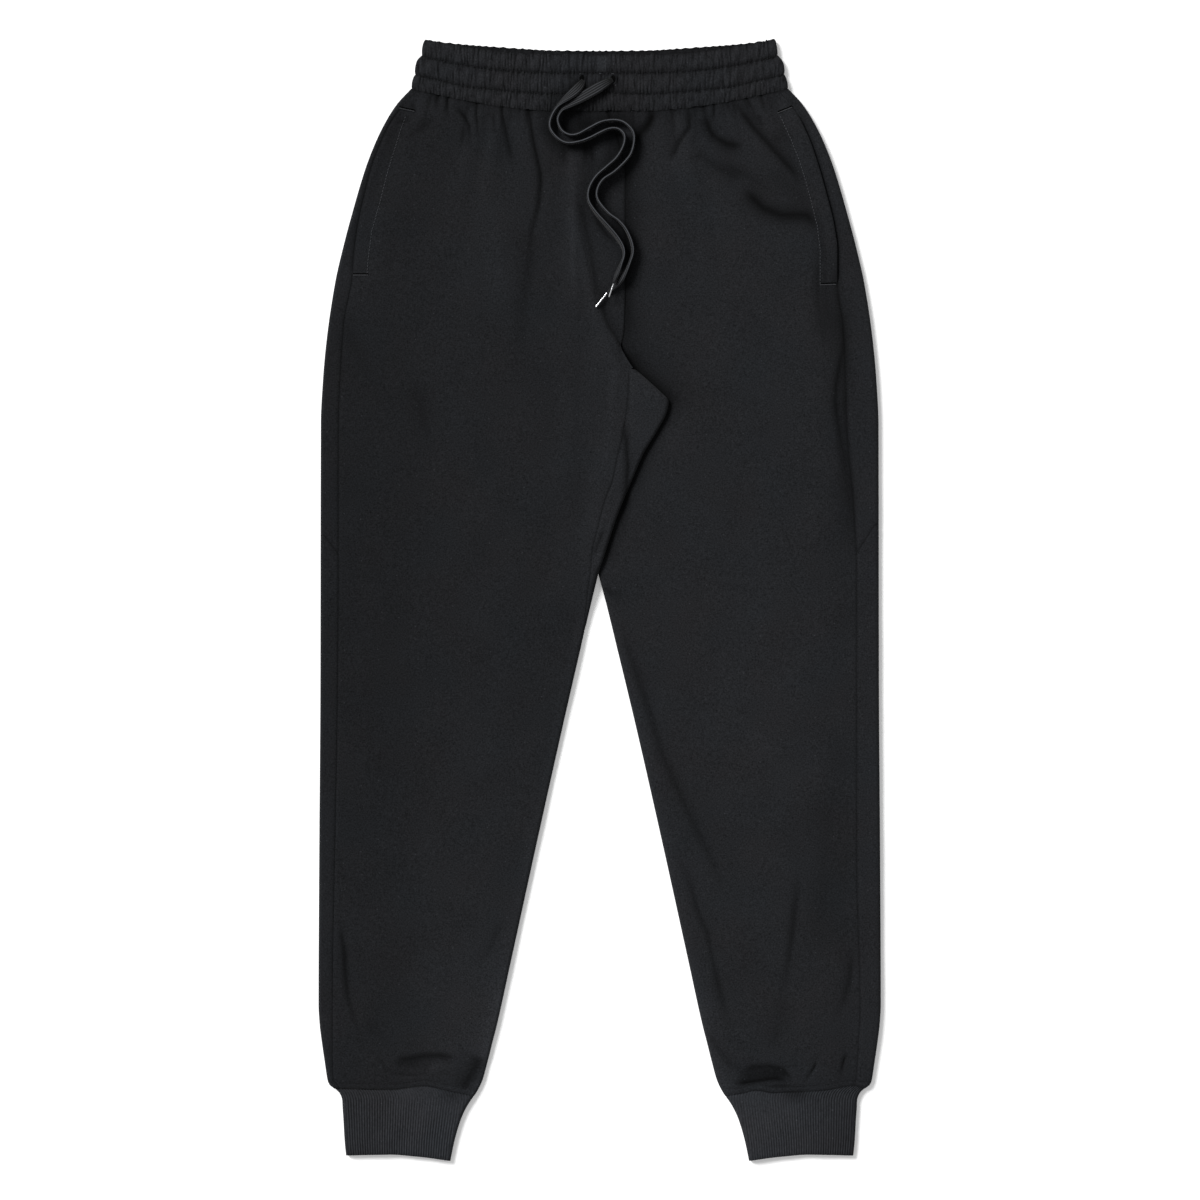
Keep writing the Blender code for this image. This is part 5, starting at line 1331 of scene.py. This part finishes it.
fleece = cloth_finish("black_fleece", (0.0110, 0.0117, 0.0131), 1150.0, 3.5, across=0.5, along=0.5)
band_fleece = cloth_finish("gathered_fleece", (0.0140, 0.0147, 0.0163), 1150.0, 3.5, across=0.5, along=0.5)
rib_knit = cloth_finish("black_rib_knit", (0.0197, 0.0209, 0.0235), 900.0, 2.4, across=1.0, along=0.3)
# The topstitching's black thread, its colour raised as painted sheen.
thread = cloth_finish("black_thread", (0.052, 0.055, 0.060), 900.0, 1.5, lint=0.0)
seam_thread = cloth_finish("seam_thread", (0.0095, 0.0100, 0.0112), 900.0, 1.5, lint=0.0)
tack_thread = cloth_finish("tack_thread", (0.042, 0.044, 0.048), 900.0, 1.5, lint=0.0)
# A near-black finish, painted shadow inside the buttonholes and above the bartacks.
shadow_fill = cloth_finish("painted_hole_shadow", (0.001, 0.001, 0.001), 600.0, 0.5, sheen=0.0, lint=0.0)
braid = braid_finish((0.044, 0.047, 0.053))
metal = metal_finish((0.78, 0.79, 0.81))
paper, _, _ = new_finish("pale_paper", Base_Color=(0.93, 0.93, 0.93, 1), Roughness=0.9, Specular_IOR_Level=0.1,
                         Emission_Color=(1, 1, 1, 1), Emission_Strength=0.2)


# The pieces.

def settle(piece, slot, *nodes):
    """The piece rides on the garment's only body and stands for its CAD nodes, which it hides. Its slot is not
    used.
    """
    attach(piece, "root")
    if nodes:
        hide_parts(*nodes)
    return piece


def laid(name, stands_for, surface, thick, finish):
    """A sheet of cloth from a surface: its grid, its shade and, on a closed ring, how it is raised."""
    grid, shade, *raised = surface
    piece = cloth(name, grid, shade, thick, finish, *raised, closed=bool(raised))
    settle(piece, "rib_knit" if finish is rib_knit else "fleece", stands_for)
    return piece


def stitched(kind, *lines, height_of=cloth_top):
    """A row of stitches, of a kind in STITCHES, along each of the lines."""
    return [stitch_row(line, height_of, **STITCHES[kind]) for line in lines]


def sewn(name, finish, rows):
    """Rows of stitches as one piece."""
    starts = np.cumsum([0] + [len(points) for points, _ in rows])
    quads = np.concatenate([faces + start for (_, faces), start in zip(rows, starts)])
    points = np.concatenate([points for points, _ in rows])
    settle(add_mesh(name, points, quads, finish, np.ones(len(points))), "fleece")


# The rows and columns of each surface's grid. Several counts of columns follow one another across it: on a
# back panel the strip, the fold and the underside, and on a tube the front, each fold and the underside.
BAND_ROWS, BAND_COLUMNS = 12, 601
GRIDS = {
    "front": (328, 120, 22), "back_upper": (150, 9, 14, 16), "back_lower": (190, 9, 14, 16),
    "crotch_fold": (150, 44), "waistband": (BAND_ROWS, BAND_COLUMNS, 9, 161), "cuff": (28, 325, 7, 90),
    "cord": (380, 40), "tip": (60, 28),
}

for side in SIGN:
    laid(f"cloth_front_{side}", f"front_{side}", front_panel(side, *GRIDS["front"]), FLEECE, fleece)
    for part in ("back_upper", "back_lower"):
        panel = back_panel(side, part == "back_upper", *GRIDS[part])
        laid(f"cloth_{part}_{side}", f"{part}_{side}", panel, FLEECE, fleece)
    bag = pocket_bag(side)
    laid(f"cloth_pocket_bag_{side}", f"pocket_bag_{side}", bag, POCKET_CLOTH, fleece)
    laid(f"knit_cuff_{side}", f"cuff_{side}", cuff(side, *GRIDS["cuff"]), RIB_KNIT, rib_knit)
fold, band = crotch_fold(*GRIDS["crotch_fold"]), waistband(*GRIDS["waistband"])
laid("cloth_crotch_fold", "crotch_fold_left", fold, FLEECE, fleece)
piece = laid("cloth_waistband", "waistband", band, BAND, band_fleece)
band_points = np.empty(len(piece.data.vertices) * 3, np.float32)
piece.data.vertices.foreach_get("co", band_points)
band_front = band_points.reshape(2, *band[0].shape)[0, :, :BAND_COLUMNS] / MM


def band_height(x, down):
    """The height of the waistband's outer face at the grid point nearest to each place."""
    flat = band_front.reshape(-1, 3)
    across = np.asarray(x)[..., None] - flat[:, 0]
    along = LENGTH / 2 - np.asarray(down)[..., None] - flat[:, 1]
    return flat[np.argmin(across**2 + along**2, axis=-1), 2]


def row_stitches(k):
    """The stitches along one of the waistband's rows, without its ends."""
    x, y, z = band_front[k * BAND_ROWS].T
    line = stacked(x, LENGTH / 2 - y)[4:-4]
    return stitched("band_row", line, height_of=lambda at, down: np.interp(at, x, z))


def ellipse(centre, width, height, turn):
    return stacked(centre[0] + width * np.sin(turn), centre[1] + height * np.cos(turn))


sewn("stitches_waistband", seam_thread, row_stitches(1) + row_stitches(2))
for side, centre in BUTTONHOLES.items():
    sewn(f"stitches_pocket_{side}", thread, stitched("topstitch", POCKET_STITCHES[side]))
    half = np.linspace(122, 240, 60)
    line = stacked(SIGN[side] * half, ankle_seam(side, half) - ANKLE_STITCHES)
    sewn(f"stitches_ankle_{side}", seam_thread, stitched("topstitch", line))
    rim = ellipse(centre, *RIM_HALF, np.linspace(0, 2 * math.pi, 49))
    sewn(f"stitches_buttonhole_{side}", seam_thread, stitched("rim", rim, height_of=band_height))
    # The buttonhole's opening: a near-black sheet, painted shadow inside it.
    share = np.linspace(0, 1, 6)[:, None]
    opening = ellipse(centre, *(size * share for size in HOLE_HALF), np.linspace(0, 2 * math.pi, 25)[None, :])
    height = band_height(opening[..., 0], opening[..., 1]) + 0.25 * (1 - share**2) + 0.1
    opening = np.concatenate([opening, height[..., None]], axis=-1)
    settle(cloth(f"buttonhole_{side}", opening, np.ones(height.shape), 0.2, shadow_fill), "fleece")
knots = [[(x - 0.9, KNOT_DOWN), (x + 0.9, KNOT_DOWN)] for x in KNOTS]
sewn("knots_waistband", tack_thread, stitched("knot", *knots, height_of=band_height))
# Painted shadow: rows of near-black stitches just above the bartacks.
sewn("bartack_shadow_lines", shadow_fill, stitched("shadow_line", *(np.array(ends) - (0, 1.3) for ends in BARTACKS.values())))
for name, ends in BARTACKS.items():
    sewn(f"bartack_{name}", tack_thread, stitched("tack", ends))

for side in SIGN:
    *made, line = drawcord(side, *GRIDS["cord"])
    cord = settle(add_mesh(f"braided_cord_{side}", *made), "drawcord", f"drawcord_{side}")
    tip = add_mesh(f"metal_tip_{side}", *cord_tip(side, *GRIDS["tip"]))
    settle(tip, "metal_tip", f"cord_tip_{side}")

# The floor, the lights and the camera.
floor_mesh = bpy.data.meshes.new("floor")
corners = [(x * FLOOR_HALF, y * FLOOR_HALF, FLOOR_UNDER) for x, y in ((-1, -1), (1, -1), (1, 1), (-1, 1))]
floor_mesh.from_pydata(corners, [], [(0, 1, 2, 3)])
floor_mesh.materials.append(paper)
add_object("floor", floor_mesh)

scene = bpy.context.scene
scene.world = bpy.data.worlds.new("soft_studio")
scene.world.use_nodes = True
backdrop = scene.world.node_tree.nodes["Background"].inputs
backdrop["Color"].default_value, backdrop["Strength"].default_value = (1, 1, 1, 1), SKY_STRENGTH

key = bpy.data.lights.new("key", "SUN")
key.energy, key.angle = SUN_STRENGTH, SUN_ANGLE
add_object("key", key).rotation_euler = Vector(SUN_FROM).to_track_quat("Z", "Y").to_euler()

camera = bpy.data.cameras.new("camera")
camera.sensor_width, camera.clip_end = 36, 20
camera.lens = 36 * (CAMERA_HEIGHT - 0.005) / PICTURE_WIDTH
scene.camera = add_object("camera", camera)
scene.camera.location = (*CAMERA_PLACE, CAMERA_HEIGHT)
scene.view_settings.view_transform = "Standard"
